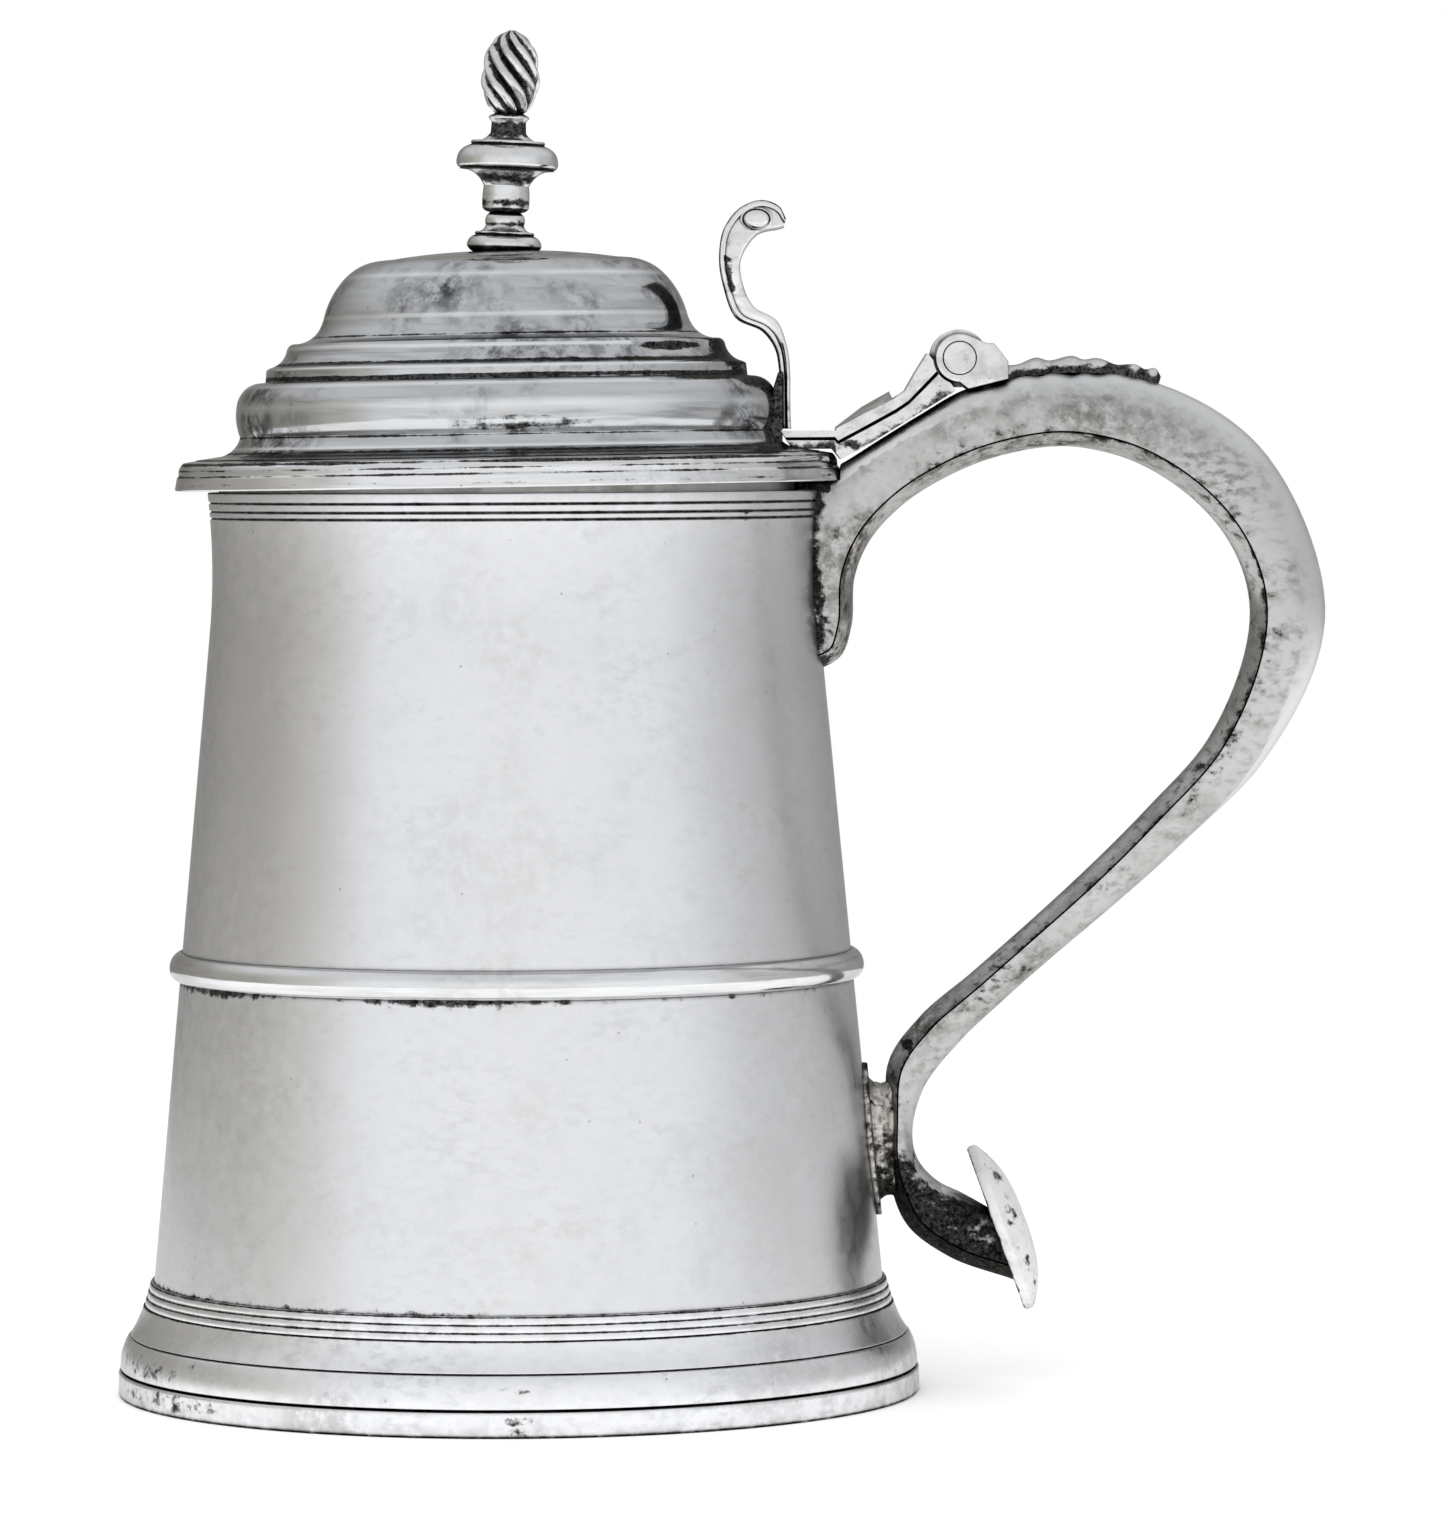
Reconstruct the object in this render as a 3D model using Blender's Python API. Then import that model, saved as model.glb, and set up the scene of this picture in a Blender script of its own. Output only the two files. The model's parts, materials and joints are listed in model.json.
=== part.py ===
"""Lidded silver tankard: a tapering barrel on a moulded foot, a hollow scroll handle and a hinged domed lid.

All sizes are millimetres, and become metres where a mesh or an empty is made. X runs from the barrel to the
handle, Y along the hinge pin and Z up from the table. The origin is on the table, under the middle of the
overall width. Outlines of the hinge and the upper handle are drawn from the hinge axis, and those of the
handle's tail from its seat on the barrel, so that each follows what it is fixed to.
"""
import math

import bmesh
import bpy
import numpy as np
from mathutils import Matrix, Vector

MM = 0.001

# Gaps between pieces
SEAM = 0.3  # between pieces that are soldered or set together
HINGE_PLAY = 0.4  # round the turning knuckle
BEZEL_PLAY = 1.6  # between the lid's locating ring and the barrel's mouth
RIM_PLAY = 0.8  # between the lid's edge and the step in the handle's end

# Steps round a full turn, round a small piece, along an arc, an arc of the lid and a smooth curve
TURN_STEPS = 36
SMALL_STEPS = 20
ARC_STEPS = 3
LID_ARC_STEPS = 2
CURVE_STEPS = 3
WELD_DISTANCE = 0.001
SHARP_ANGLE = math.radians(35)

# Barrel
BARREL_HEIGHT = 147.2
BARREL_BASE_RADIUS = 61.3  # the taper carried down to the table
LIP_RADIUS = 50.0
LIP_FLARE = 0.2  # the neck, where the taper ends, is narrower than the lip by this
FLARE_HEIGHT = 22.8  # the flare runs this far below the lip
BARREL_WALL = 0.8
LIP_LINES = (1.7, 3.1, 4.2)  # incised lines, measured down from the lip
LIP_LINE_WIDTH = 0.5
LIP_LINE_DEPTH = 0.25
FLOOR_HEIGHT = 9.0  # drinking floor above the table
FLOOR_WALL = 0.8
FLOOR_SKIRT = 4.0

# Girdle wire
MIDBAND_Z = 70.0
MIDBAND_HEIGHT = 4.7
MIDBAND_PROUD = 1.9

# Foot: how far each moulding stands proud of the barrel, and at what height
FOOT_RIM_SPREAD = 4.2
FOOT_RIM_HEIGHT = 3.8
FOOT_RIM_WIDTH = 5.6
FOOT_RIM_ROUND = 0.6
TORUS_PROUD = 4.3
TORUS_TOP = 9.0
TORUS_TOP_PROUD = 3.9
TORUS_BULGE = 0.35
CAVETTO_TOP = 13.8
CAVETTO_PROUD = 1.9
CAVETTO_HOLLOW = 0.35
REED_HEIGHT = 4.1
REED_COUNT = 3
REED_BULGE = 0.35
REED_LOWER_PROUD = 1.6
REED_UPPER_PROUD = 0.8

# Hinge, whose axis is measured out and up from the lip
HINGE_REACH = 22.5
HINGE_RISE = 21.3
HINGE_WIDTH = 17.0
SEAT_SLOPE_PLATE = 0.611
SEAT_SLOPE_BRACKET = 0.247
FIXED_KNUCKLE_RADIUS = 3.9
KNUCKLE_STEP = 0.8  # the lid's knuckle is larger by this
KNUCKLE_LIFT = 0.35  # of the lid's knuckle above the handle's flattened back
LID_KNUCKLE_WIDTH = 8.0
PIN_RADIUS = 1.6
PIN_HEAD_RADIUS = 2.65
PIN_HEAD_LENGTH = 1.0
PIN_PROUD = 0.2
BRACKET_LENGTH = 7.9
BRACKET_END_Z = -0.6
BRACKET_TOP = ((5.6, 2.4), (4.4, 2.4))  # moulded top, from the axis
BRACKET_NECK_X = 1.4  # where the block starts under the knuckle
BRACKET_NECK_ANGLE = math.radians(66)  # where the knuckle runs into the block's top

# Moving leaf: x of its under edge, x and z of its top edge, and the height of its ridge
PLATE_TONGUE = 2.7
PLATE_ROWS = (
    (-14.5, (-15.8, -9.1), 1.3),
    (-10.0, (-11.3, -6.9), 1.6),
    (-9.6, (-10.9, -6.7), 0.2),
    (-7.6, (-8.8, -5.2), 0.0),
    (-4.0, (-7.2, -2.4), 0.0),
    (-0.6, (-5.2, 0.8), 0.0),
)

# Thumbpiece: front and back edge as (x, z) from its foot, and its width
THUMB_ROWS = (
    (0.0, 0.0, 1.7, 0.0, 12.0),
    (0.0, 5.1, 1.6, 4.6, 11.0),
    (-0.1, 8.6, 1.6, 9.1, 10.0),
    (-0.9, 13.2, 1.0, 13.8, 9.5),
    (-2.9, 15.9, -0.4, 17.4, 9.5),
    (-7.2, 18.1, -4.2, 19.8, 10.0),
    (-9.2, 23.1, -6.0, 23.4, 11.0),
    (-9.9, 28.1, -6.4, 27.2, 12.0),
    (-8.9, 32.9, -5.0, 30.2, 12.5),
    (-6.1, 36.1, -3.4, 31.8, 12.5),
    (-2.8, 37.1, -1.8, 32.3, 12.5),
    (0.0, 36.0, -0.4, 32.5, 12.0),
    (1.0, 34.1, 0.7, 32.8, 11.5),
)
THUMB_EDGE = 0.4  # broken edges
VOLUTE_CENTRE = (-3.8, 34.0)
VOLUTE_HALF_SIZE = (2.6, 1.9)
VOLUTE_WIDTH = 13.4

# Drop along the handle's back: distance from the bracket, half width, height
DROP_ROWS = (
    (0.0, 5.5, 2.0),
    (2.3, 3.4, 1.7),
    (5.2, 4.8, 2.3),
    (7.1, 3.2, 1.6),
    (10.9, 4.4, 2.2),
    (12.6, 3.0, 1.6),
    (14.6, 3.6, 1.9),
    (18.1, 1.6, 1.1),
    (20.8, 2.2, 1.7),
    (22.3, 1.5, 1.3),
    (23.8, 2.0, 1.9),
    (25.1, 0.8, 0.9),
)

# Handle rows: outer edge x and z, inner edge x and z, width across, and how square the back is
HANDLE_WALL = 0.8
STRIP_WALL = 0.8
STRIP_DEPTH = 2.2
STRIP_SHARE = 0.3  # the strip takes no more than this share of a shallow section
ARCH_STEPS = 8
STRIP_STEPS = 4
# Root, under the hinge: the outer edge lies on the hinge seat, so only its x is given
HANDLE_ROOT = (
    (-30.0, -26.5, -52.0, 18.0, 4.6),
    (-27.0, -19.2, -48.3, 18.0, 4.6),
    (-24.0, -17.6, -43.7, 18.0, 4.6),
    (-19.5, -17.1, -36.0, 18.0, 4.4),
    (-13.0, -14.5, -29.6, 17.8, 4.2),
    (-6.0, -9.0, -23.7, 17.6, 4.0),
    (1.0, -2.0, -19.3, 17.4, 3.6),
    (8.0, 5.0, -16.4, 17.2, 3.2),
)
# Bow, measured from the hinge axis
HANDLE_BOW = (
    (16.5, -2.2, 15.5, -14.4, 17.0, 2.6),
    (27.4, -2.8, 24.8, -15.6, 16.5, 2.2),
    (49.0, -14.4, 40.7, -25.5, 15.5, 2.0),
    (59.8, -40.7, 47.5, -41.5, 14.5, 2.0),
    (49.7, -66.0, 40.6, -62.3, 13.0, 2.0),
    (36.7, -79.0, 30.9, -73.3, 12.0, 2.0),
)
# Tail, measured from the barrel's surface at the strut
STRUT_Z = 41.0
HANDLE_TAIL = (
    (21.9, 22.5, 16.9, 27.2, 10.5, 2.0),
    (15.0, 16.0, 8.3, 19.9, 10.0, 2.0),
    (9.1, 8.5, 3.0, 12.0, 10.0, 2.0),
    (7.1, 1.3, 3.1, 2.5, 10.0, 2.2),
    (8.1, -3.7, 3.3, -6.8, 10.0, 2.6),
    (11.1, -7.0, 6.1, -14.2, 10.0, 3.4),
    (15.0, -9.0, 12.5, -19.2, 10.0, 4.2),
    (19.4, -11.5, 23.6, -23.3, 10.0, 4.6),
)
STRUT_HEIGHT = 18.0
STRUT_WIDTH = 7.0
STRUT_PLATE_HEIGHT = 25.0
STRUT_PLATE_WIDTH = 15.0
STRUT_PLATE_WALL = 0.7
TERMINAL_RADIUS = 14.2
TERMINAL_WIDTH_RATIO = 0.85
TERMINAL_RIM = 0.8
TERMINAL_DOME = 4.4
TERMINAL_RISE = 2.6  # of its centre above that of the tail's end face

# Lid, measured in from its rim and up from its seat; each outline row ends an arc of the given bulge
LID_OVERHANG = 4.4
LID_WALL = 0.8
LID_HEIGHT = 38.2
LID_FORWARD = 1.2  # the lid sits this far forward of the barrel's axis
LID_TILT = math.radians(0.7)  # the worn hinge lets the front edge down on the lip
LID_FLANGE = ((3.5, 4.9, 0.0), (7.8, 5.5, 0.0))
LID_STEPS = (
    (10.8, 8.5, -0.55),
    (10.5, 14.4, 0.45),
    (15.1, 17.3, 1.0),
    (15.3, 19.4, 0.0),
    (15.9, 19.7, 0.0),
    (18.7, 22.6, -0.6),
    (19.5, 23.5, 0.15),
    (24.7, 27.4, -1.2),
    (28.0, 33.8, 0.45),
    (35.2, 36.9, 0.9),
)
LID_CROWN_BULGE = 0.45
RIM_OUTLINE = ((0.0, 0.0, 0.0), (0.4, 2.1, 0.0), (0.7, 2.4, 0.0), (1.5, 4.5, 0.3), (3.2, 4.8, 0.0))
RIM_SEAT_INSET = 5.8
RIM_SEAT_HEIGHT = 1.3
BEZEL_DEPTH = 4.0
BEZEL_WALL = 1.2

# Finial, measured up from the crown: (radius, height, bulge) rows
FINIAL_LEAN = math.radians(3.2)
BALUSTER_ROWS = (
    (3.6, 0.0, 0.0),
    (6.1, 1.2, 0.5),
    (4.9, 2.9, 0.35),
    (4.7, 3.5, 0.0),
    (3.1, 4.6, -0.35),
    (3.0, 6.2, 0.2),
    (2.5, 6.7, 0.0),
    (3.8, 7.4, 0.2),
    (3.7, 11.0, 0.1),
    (7.8, 13.6, -0.8),
    (8.3, 14.8, 0.25),
    (6.3, 17.5, 0.6),
    (5.9, 17.7, 0.0),
    (5.9, 18.3, 0.0),
    (2.9, 19.6, -0.5),
    (2.8, 21.4, 0.0),
    (3.1, 21.8, 0.0),
    (3.1, 22.4, 0.0),
)
FLAME_HEIGHT = 13.3
# Flame: share of its height and the radius there
FLAME_ROWS = ((0.0, 2.7), (0.15, 3.7), (0.4, 4.5), (0.65, 4.1), (0.86, 2.9), (1.0, 0.8))
FLAME_LOBES = 8
FLAME_POINTS_PER_LOBE = 4
FLAME_GROOVE = 0.12  # share of the radius
FLAME_TWIST = math.radians(-150)

# Finishes: colour and roughness of bright, satin and tarnished silver
BRIGHT = ((0.84, 0.84, 0.83), 0.18)
SATIN = ((0.72, 0.72, 0.71), 0.30)
TARNISHED = ((0.52, 0.52, 0.50), 0.42)

# Places that follow from the sizes above
BARREL_NECK_RADIUS = LIP_RADIUS - LIP_FLARE
HINGE_X = LIP_RADIUS + HINGE_REACH
HINGE_Z = BARREL_HEIGHT + HINGE_RISE
LID_KNUCKLE_RADIUS = FIXED_KNUCKLE_RADIUS + KNUCKLE_STEP
HINGE_SEAT_DROP = LID_KNUCKLE_RADIUS + KNUCKLE_LIFT
LID_RADIUS = LIP_RADIUS + LID_OVERHANG
LID_SEAT = (HINGE_RISE - SEAM - (LIP_RADIUS + HINGE_X) * math.sin(LID_TILT)) / math.cos(LID_TILT)
FOOT_RADIUS = BARREL_BASE_RADIUS + FOOT_RIM_SPREAD
HANDLE_REACH = HINGE_X + max(row[0] for row in HANDLE_BOW)
AXIS_X = (FOOT_RADIUS - HANDLE_REACH) / 2


def barrel_radius(z):
    """Outside radius of the barrel: a straight taper that flares out to the lip."""
    flare_start = BARREL_HEIGHT - FLARE_HEIGHT
    slope = (BARREL_NECK_RADIUS - BARREL_BASE_RADIUS) / flare_start
    spread = LIP_RADIUS - (BARREL_BASE_RADIUS + slope * BARREL_HEIGHT)
    flare = max(0.0, (z - flare_start) / FLARE_HEIGHT) ** 2
    return BARREL_BASE_RADIUS + slope * z + spread * flare


def hinge_seat(x):
    """Height, from the hinge axis, of the flattened back that the hinge's two leaves lie on."""
    slope = SEAT_SLOPE_PLATE if x < 0 else SEAT_SLOPE_BRACKET
    return slope * x - HINGE_SEAT_DROP


def lid_x(inset):
    """Distance from the hinge axis to the point of the lid that lies this far inside its rim."""
    return LID_RADIUS - inset - LID_FORWARD - HINGE_X


def arc_outline(rows, steps=ARC_STEPS):
    """Points of an outline whose rows hold a point and the bulge of the arc that leads to it."""
    points = [Vector(rows[0][:2])]
    for x, y, bulge in rows[1:]:
        start, end = points[-1], Vector((x, y))
        across = (end - start).orthogonal().normalized()
        count = steps if bulge else 1
        for step in range(1, count + 1):
            share = step / count
            points.append(start.lerp(end, share) - across * bulge * 4 * share * (1 - share))
    return points


def moved_in(points, distance):
    """The outline moved to its left-hand side by a wall's thickness, with mitred corners."""
    result = []
    for index, point in enumerate(points):
        before = point - points[index - 1] if index else points[1] - point
        after = points[index + 1] - point if index + 1 < len(points) else before
        normals = [edge.orthogonal().normalized() for edge in (before, after)]
        mitre = (normals[0] + normals[1]).normalized()
        result.append(point + mitre * distance / mitre.dot(normals[0]))
    return result


def smooth(rows, steps=CURVE_STEPS):
    """Rows on a smooth curve through the given rows, with parabolic tangents."""
    rows = np.array(rows, dtype=float)
    spans = np.linalg.norm(np.diff(rows, axis=0), axis=1)[:, None]
    slopes = np.diff(rows, axis=0) / spans
    inner = (slopes[:-1] * spans[1:] + slopes[1:] * spans[:-1]) / (spans[:-1] + spans[1:])
    tangents = np.vstack((slopes[:1], inner, slopes[-1:]))
    result = [rows[0]]
    for index, span in enumerate(spans):
        for step in range(1, steps + 1):
            t = step / steps
            value = (2 * t**3 - 3 * t**2 + 1) * rows[index] + (3 * t**2 - 2 * t**3) * rows[index + 1]
            value += (t**3 - 2 * t**2 + t) * span * tangents[index]
            value += (t**3 - t**2) * span * tangents[index + 1]
            result.append(value)
    return result


def turned(outline, steps=TURN_STEPS):
    """Spin an outline of (radius, height) points; one that starts off the axis is a closed ring."""
    bm = bmesh.new()
    corners = [bm.verts.new((radius, 0.0, height)) for radius, height in outline]
    pairs = list(zip(corners, corners[1:]))
    if outline[0][0] > 0:
        pairs.append((corners[-1], corners[0]))
    edges = [bm.edges.new(pair) for pair in pairs]
    bmesh.ops.spin(
        bm,
        geom=corners + edges,
        cent=(0, 0, 0),
        axis=(0, 0, 1),
        angle=math.tau,
        steps=steps,
        use_merge=True,
    )
    return bm


def loft(rings):
    """Skin a row of loops with the same number of points, and close both ends."""
    bm = bmesh.new()
    loops = [[bm.verts.new(point) for point in ring] for ring in rings]
    for near, far in zip(loops, loops[1:]):
        for index, corner in enumerate(near):
            bm.faces.new((near[index - 1], corner, far[index], far[index - 1]))
    bm.faces.new(loops[0])
    bm.faces.new(loops[-1])
    return bm


def prism(outline, width):
    """An outline of (x, z) points, extruded to both sides of the middle plane."""
    return loft([[(x, side * width / 2, z) for x, z in outline] for side in (-1, 1)])


def round_bar(outline):
    """A turned bar laid along Y."""
    bm = turned(outline, SMALL_STEPS)
    bmesh.ops.rotate(bm, verts=bm.verts, cent=(0, 0, 0), matrix=Matrix.Rotation(math.pi / 2, 3, "X"))
    return bm


def cylinder_outline(radius, width):
    """Profile of a plain bar, from pole to pole."""
    return ((0.0, width / 2), (radius, width / 2), (radius, -width / 2), (0.0, -width / 2))


def silver(name, finish):
    """A piece's own metal, with its photographed colour and polish."""
    colour, roughness = finish
    material = bpy.data.materials.new(name)
    material.use_nodes = True
    shader = material.node_tree.nodes["Principled BSDF"]
    shader.inputs["Base Color"].default_value = (*colour, 1.0)
    shader.inputs["Metallic"].default_value = 1.0
    shader.inputs["Roughness"].default_value = roughness
    return material


def piece(name, bm, parent, finish=None):
    """Turn millimetre geometry into a named object; one without a finish is a hidden cutter."""
    bmesh.ops.remove_doubles(bm, verts=bm.verts, dist=WELD_DISTANCE)
    bmesh.ops.recalc_face_normals(bm, faces=bm.faces)
    bmesh.ops.scale(bm, vec=(MM, MM, MM), verts=bm.verts)
    mesh = bpy.data.meshes.new(name)
    bm.to_mesh(mesh)
    bm.free()
    mesh.shade_smooth()
    mesh.set_sharp_from_angle(angle=SHARP_ANGLE)
    made = bpy.data.objects.new(name, mesh)
    bpy.context.collection.objects.link(made)
    made.parent = parent
    if finish:
        mesh.materials.append(silver(name, finish))
    else:
        made.hide_render = True
        made.display_type = "WIRE"
    return made


def pivot(name, parent, x=0.0, z=0.0, turn=0.0):
    """An empty that carries pieces."""
    empty = bpy.data.objects.new(name, None)
    bpy.context.collection.objects.link(empty)
    empty.parent = parent
    empty.location = (x * MM, 0.0, z * MM)
    empty.rotation_euler = (0.0, turn, 0.0)
    return empty


def combine(target, tool, operation):
    """Cut a tool out of a piece, or join it on."""
    modifier = target.modifiers.new(tool.name, "BOOLEAN")
    modifier.operation = operation
    modifier.object = tool


def make_barrel(body):
    """Tapering wall with incised lines under its lip."""
    outside = [(LIP_RADIUS, BARREL_HEIGHT)]
    for drop in LIP_LINES:
        z = BARREL_HEIGHT - drop
        half = LIP_LINE_WIDTH / 2
        outside.append((barrel_radius(z + half), z + half))
        outside.append((barrel_radius(z) - LIP_LINE_DEPTH, z))
        outside.append((barrel_radius(z - half), z - half))
    flare_top = outside[-1][1]
    flare_start = BARREL_HEIGHT - FLARE_HEIGHT
    for step in range(1, ARC_STEPS + 1):
        z = flare_top + (flare_start - flare_top) * step / ARC_STEPS
        outside.append((barrel_radius(z), z))
    lowest = FOOT_RIM_HEIGHT + SEAM
    outside.append((barrel_radius(lowest), lowest))
    inside = [(barrel_radius(z) - BARREL_WALL, z) for z in (lowest, flare_start)]
    for step in range(1, ARC_STEPS + 1):
        z = flare_start + FLARE_HEIGHT * step / ARC_STEPS
        inside.append((barrel_radius(z) - BARREL_WALL, z))
    piece("barrel", turned(outside + inside), body, SATIN)


def make_barrel_bottom(body):
    """Dished disc that closes the barrel above the foot."""
    underside = FLOOR_HEIGHT - FLOOR_WALL
    skirt = FLOOR_HEIGHT - FLOOR_SKIRT

    def bore(z):
        return barrel_radius(z) - BARREL_WALL - SEAM

    outline = (
        (0.0, FLOOR_HEIGHT),
        (bore(FLOOR_HEIGHT), FLOOR_HEIGHT),
        (bore(skirt), skirt),
        (bore(skirt) - FLOOR_WALL, skirt),
        (bore(underside) - FLOOR_WALL, underside),
        (0.0, underside),
    )
    piece("barrel_bottom", turned(outline), body, TARNISHED)


def ring_on_barrel(name, rows, body, finish):
    """A moulding that clasps the barrel; rows are (height, proud, bulge) from the bottom up."""
    outer = arc_outline([(barrel_radius(z) + proud, z, bulge) for z, proud, bulge in rows])
    low, high = rows[0][0], rows[-1][0]
    inner = [(barrel_radius(z) + SEAM, z) for z in (low, high)]
    piece(name, turned(outer[::-1] + inner), body, finish)


def make_midband(body):
    """Half-round girdle wire."""
    half = MIDBAND_HEIGHT / 2
    rows = []
    for step in range(2 * ARC_STEPS + 1):
        angle = math.pi * (step / (2 * ARC_STEPS) - 0.5)
        proud = 2 * SEAM + (MIDBAND_PROUD - 2 * SEAM) * math.cos(angle)
        rows.append((MIDBAND_Z + half * math.sin(angle), proud, 0.0))
    ring_on_barrel("midband", rows, body, BRIGHT)


def make_foot(body):
    """Flat rim, torus and cavetto moulding, and the reeded wire above them."""
    inner = FOOT_RADIUS - FOOT_RIM_WIDTH
    rim = (
        (FOOT_RADIUS, FOOT_RIM_HEIGHT),
        (FOOT_RADIUS, FOOT_RIM_ROUND),
        (FOOT_RADIUS - FOOT_RIM_ROUND, 0.0),
        (inner, 0.0),
        (inner, FOOT_RIM_HEIGHT),
    )
    piece("foot_rim", turned(rim), body, BRIGHT)
    moulding = (
        (FOOT_RIM_HEIGHT + SEAM, TORUS_PROUD, 0.0),
        (TORUS_TOP, TORUS_TOP_PROUD, TORUS_BULGE),
        (TORUS_TOP + SEAM, TORUS_TOP_PROUD - SEAM, 0.0),
        (CAVETTO_TOP, CAVETTO_PROUD, -CAVETTO_HOLLOW),
    )
    ring_on_barrel("foot_moulding", moulding, body, BRIGHT)
    low = CAVETTO_TOP + SEAM
    reeds = [(low, REED_LOWER_PROUD, 0.0)]
    for reed in range(1, REED_COUNT + 1):
        share = reed / REED_COUNT
        proud = REED_LOWER_PROUD + (REED_UPPER_PROUD - REED_LOWER_PROUD) * share
        reeds.append((low + REED_HEIGHT * share, proud, REED_BULGE))
    ring_on_barrel("foot_reeding", reeds, body, BRIGHT)


def handle_rows():
    """Stations of the whole handle: outer x and z, inner x and z, width, squareness, inner edge's normal."""
    root = [
        (x, hinge_seat(x) - SEAM, inner_x, inner_z, width, square)
        for x, inner_x, inner_z, width, square in HANDLE_ROOT
    ]
    hinge = np.array((HINGE_X, HINGE_Z, HINGE_X, HINGE_Z, 0.0, 0.0))
    seat_x = barrel_radius(STRUT_Z)
    strut = np.array((seat_x, STRUT_Z, seat_x, STRUT_Z, 0.0, 0.0))
    upper = [np.array(row) + hinge for row in root + list(HANDLE_BOW)]
    lower = [np.array(row) + strut for row in HANDLE_TAIL]
    rows = np.array(smooth(upper + lower))
    along = np.gradient(rows[:, 2:4], axis=0)
    normals = np.stack((-along[:, 1], along[:, 0]), axis=1)
    normals[-1] = rows[-1, 0:2] - rows[-1, 2:4]  # the end is cut flat for the terminal
    normals /= np.linalg.norm(normals, axis=1)[:, None]
    return np.hstack((rows, normals))


def strip_depth(row):
    """Depth of the inner strip, which is less where the handle is shallow."""
    return min(STRIP_DEPTH, STRIP_SHARE * math.hypot(row[0] - row[2], row[1] - row[3]))


def handle_back_ring(row):
    """U-shaped section: an arch and the same arch one wall inside it."""
    outer = Vector(row[0:2])
    mouth = Vector(row[2:4]) + Vector(row[6:8]) * (strip_depth(row) + SEAM)
    depth = (outer - mouth).length
    arches = []
    for wall in (0.0, HANDLE_WALL):
        arch = []
        for step in range(ARCH_STEPS + 1):
            angle = math.pi * step / ARCH_STEPS
            across, up = math.cos(angle), math.sin(angle)
            power = 2 / row[5]
            side = math.copysign(abs(across) ** power, across) * (row[4] / 2 - wall)
            x, z = mouth.lerp(outer, abs(up) ** power * (depth - wall) / depth)
            arch.append((x, side, z))
        arches.append(arch)
    return arches[0] + arches[1][::-1]


def handle_strip_ring(row):
    """Bowed strip that closes the U on the finger side."""
    finger_side, back = [], []
    for step in range(STRIP_STEPS + 1):
        share = 2 * step / STRIP_STEPS - 1
        bow = (strip_depth(row) - STRIP_WALL) * share**2
        for loop, depth in ((finger_side, bow), (back, bow + STRIP_WALL)):
            x, z = Vector(row[2:4]) + Vector(row[6:8]) * depth
            loop.append((x, share * row[4] / 2, z))
    return finger_side + back[::-1]


def mouth_cutter(body):
    """The barrel and the lid's edge, grown by their gaps: what the handle's upper end stops at."""
    flare_start = BARREL_HEIGHT - FLARE_HEIGHT
    clear_of_rim = LID_RADIUS + RIM_PLAY
    outline = [(0.0, HINGE_Z), (clear_of_rim, HINGE_Z), (clear_of_rim, BARREL_HEIGHT)]
    heights = [BARREL_HEIGHT - FLARE_HEIGHT * step / ARC_STEPS for step in range(ARC_STEPS)]
    outline += [(barrel_radius(z) + SEAM, z) for z in heights + [flare_start, MIDBAND_Z]]
    outline.append((0.0, MIDBAND_Z))
    return piece("mouth_cutter", turned(outline), body)


def make_handle(body, rows):
    """Hollow scroll handle: a U-shaped back and the strip that closes it."""
    cutter = mouth_cutter(body)
    back = piece("handle_back", loft([handle_back_ring(row) for row in rows]), body, SATIN)
    strip = piece("handle_inner_strip", loft([handle_strip_ring(row) for row in rows]), body, SATIN)
    for part in (back, strip):
        combine(part, cutter, "DIFFERENCE")


def make_strut(body, rows):
    """Oval plate on the barrel, and the block that joins it to the handle."""
    outer_gap = SEAM + STRUT_PLATE_WALL
    rings = []
    for share, gap in ((0.5, SEAM), (1.0, SEAM), (1.0, outer_gap), (0.5, outer_gap)):
        ring = []
        for step in range(SMALL_STEPS):
            angle = math.tau * step / SMALL_STEPS
            y = STRUT_PLATE_WIDTH / 2 * share * math.cos(angle)
            z = STRUT_Z + STRUT_PLATE_HEIGHT / 2 * share * math.sin(angle)
            ring.append((math.sqrt(barrel_radius(z) ** 2 - y**2) + gap, y, z))
        rings.append(ring)
    piece("strut_plate", loft(rings), body, TARNISHED)

    low, high = STRUT_Z - STRUT_HEIGHT / 2, STRUT_Z + STRUT_HEIGHT / 2
    tail = np.array([row[2:4] for row in rows if row[3] < MIDBAND_Z])
    heights = [high] + [z for _, z in tail if low < z < high] + [low]
    handle_side = [(np.interp(-z, -tail[:, 1], tail[:, 0]) - SEAM, z) for z in heights]
    plate_side = [(barrel_radius(z) + outer_gap + SEAM, z) for z in (low, high)]
    piece("handle_strut", prism(handle_side + plate_side, STRUT_WIDTH), body, TARNISHED)


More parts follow.
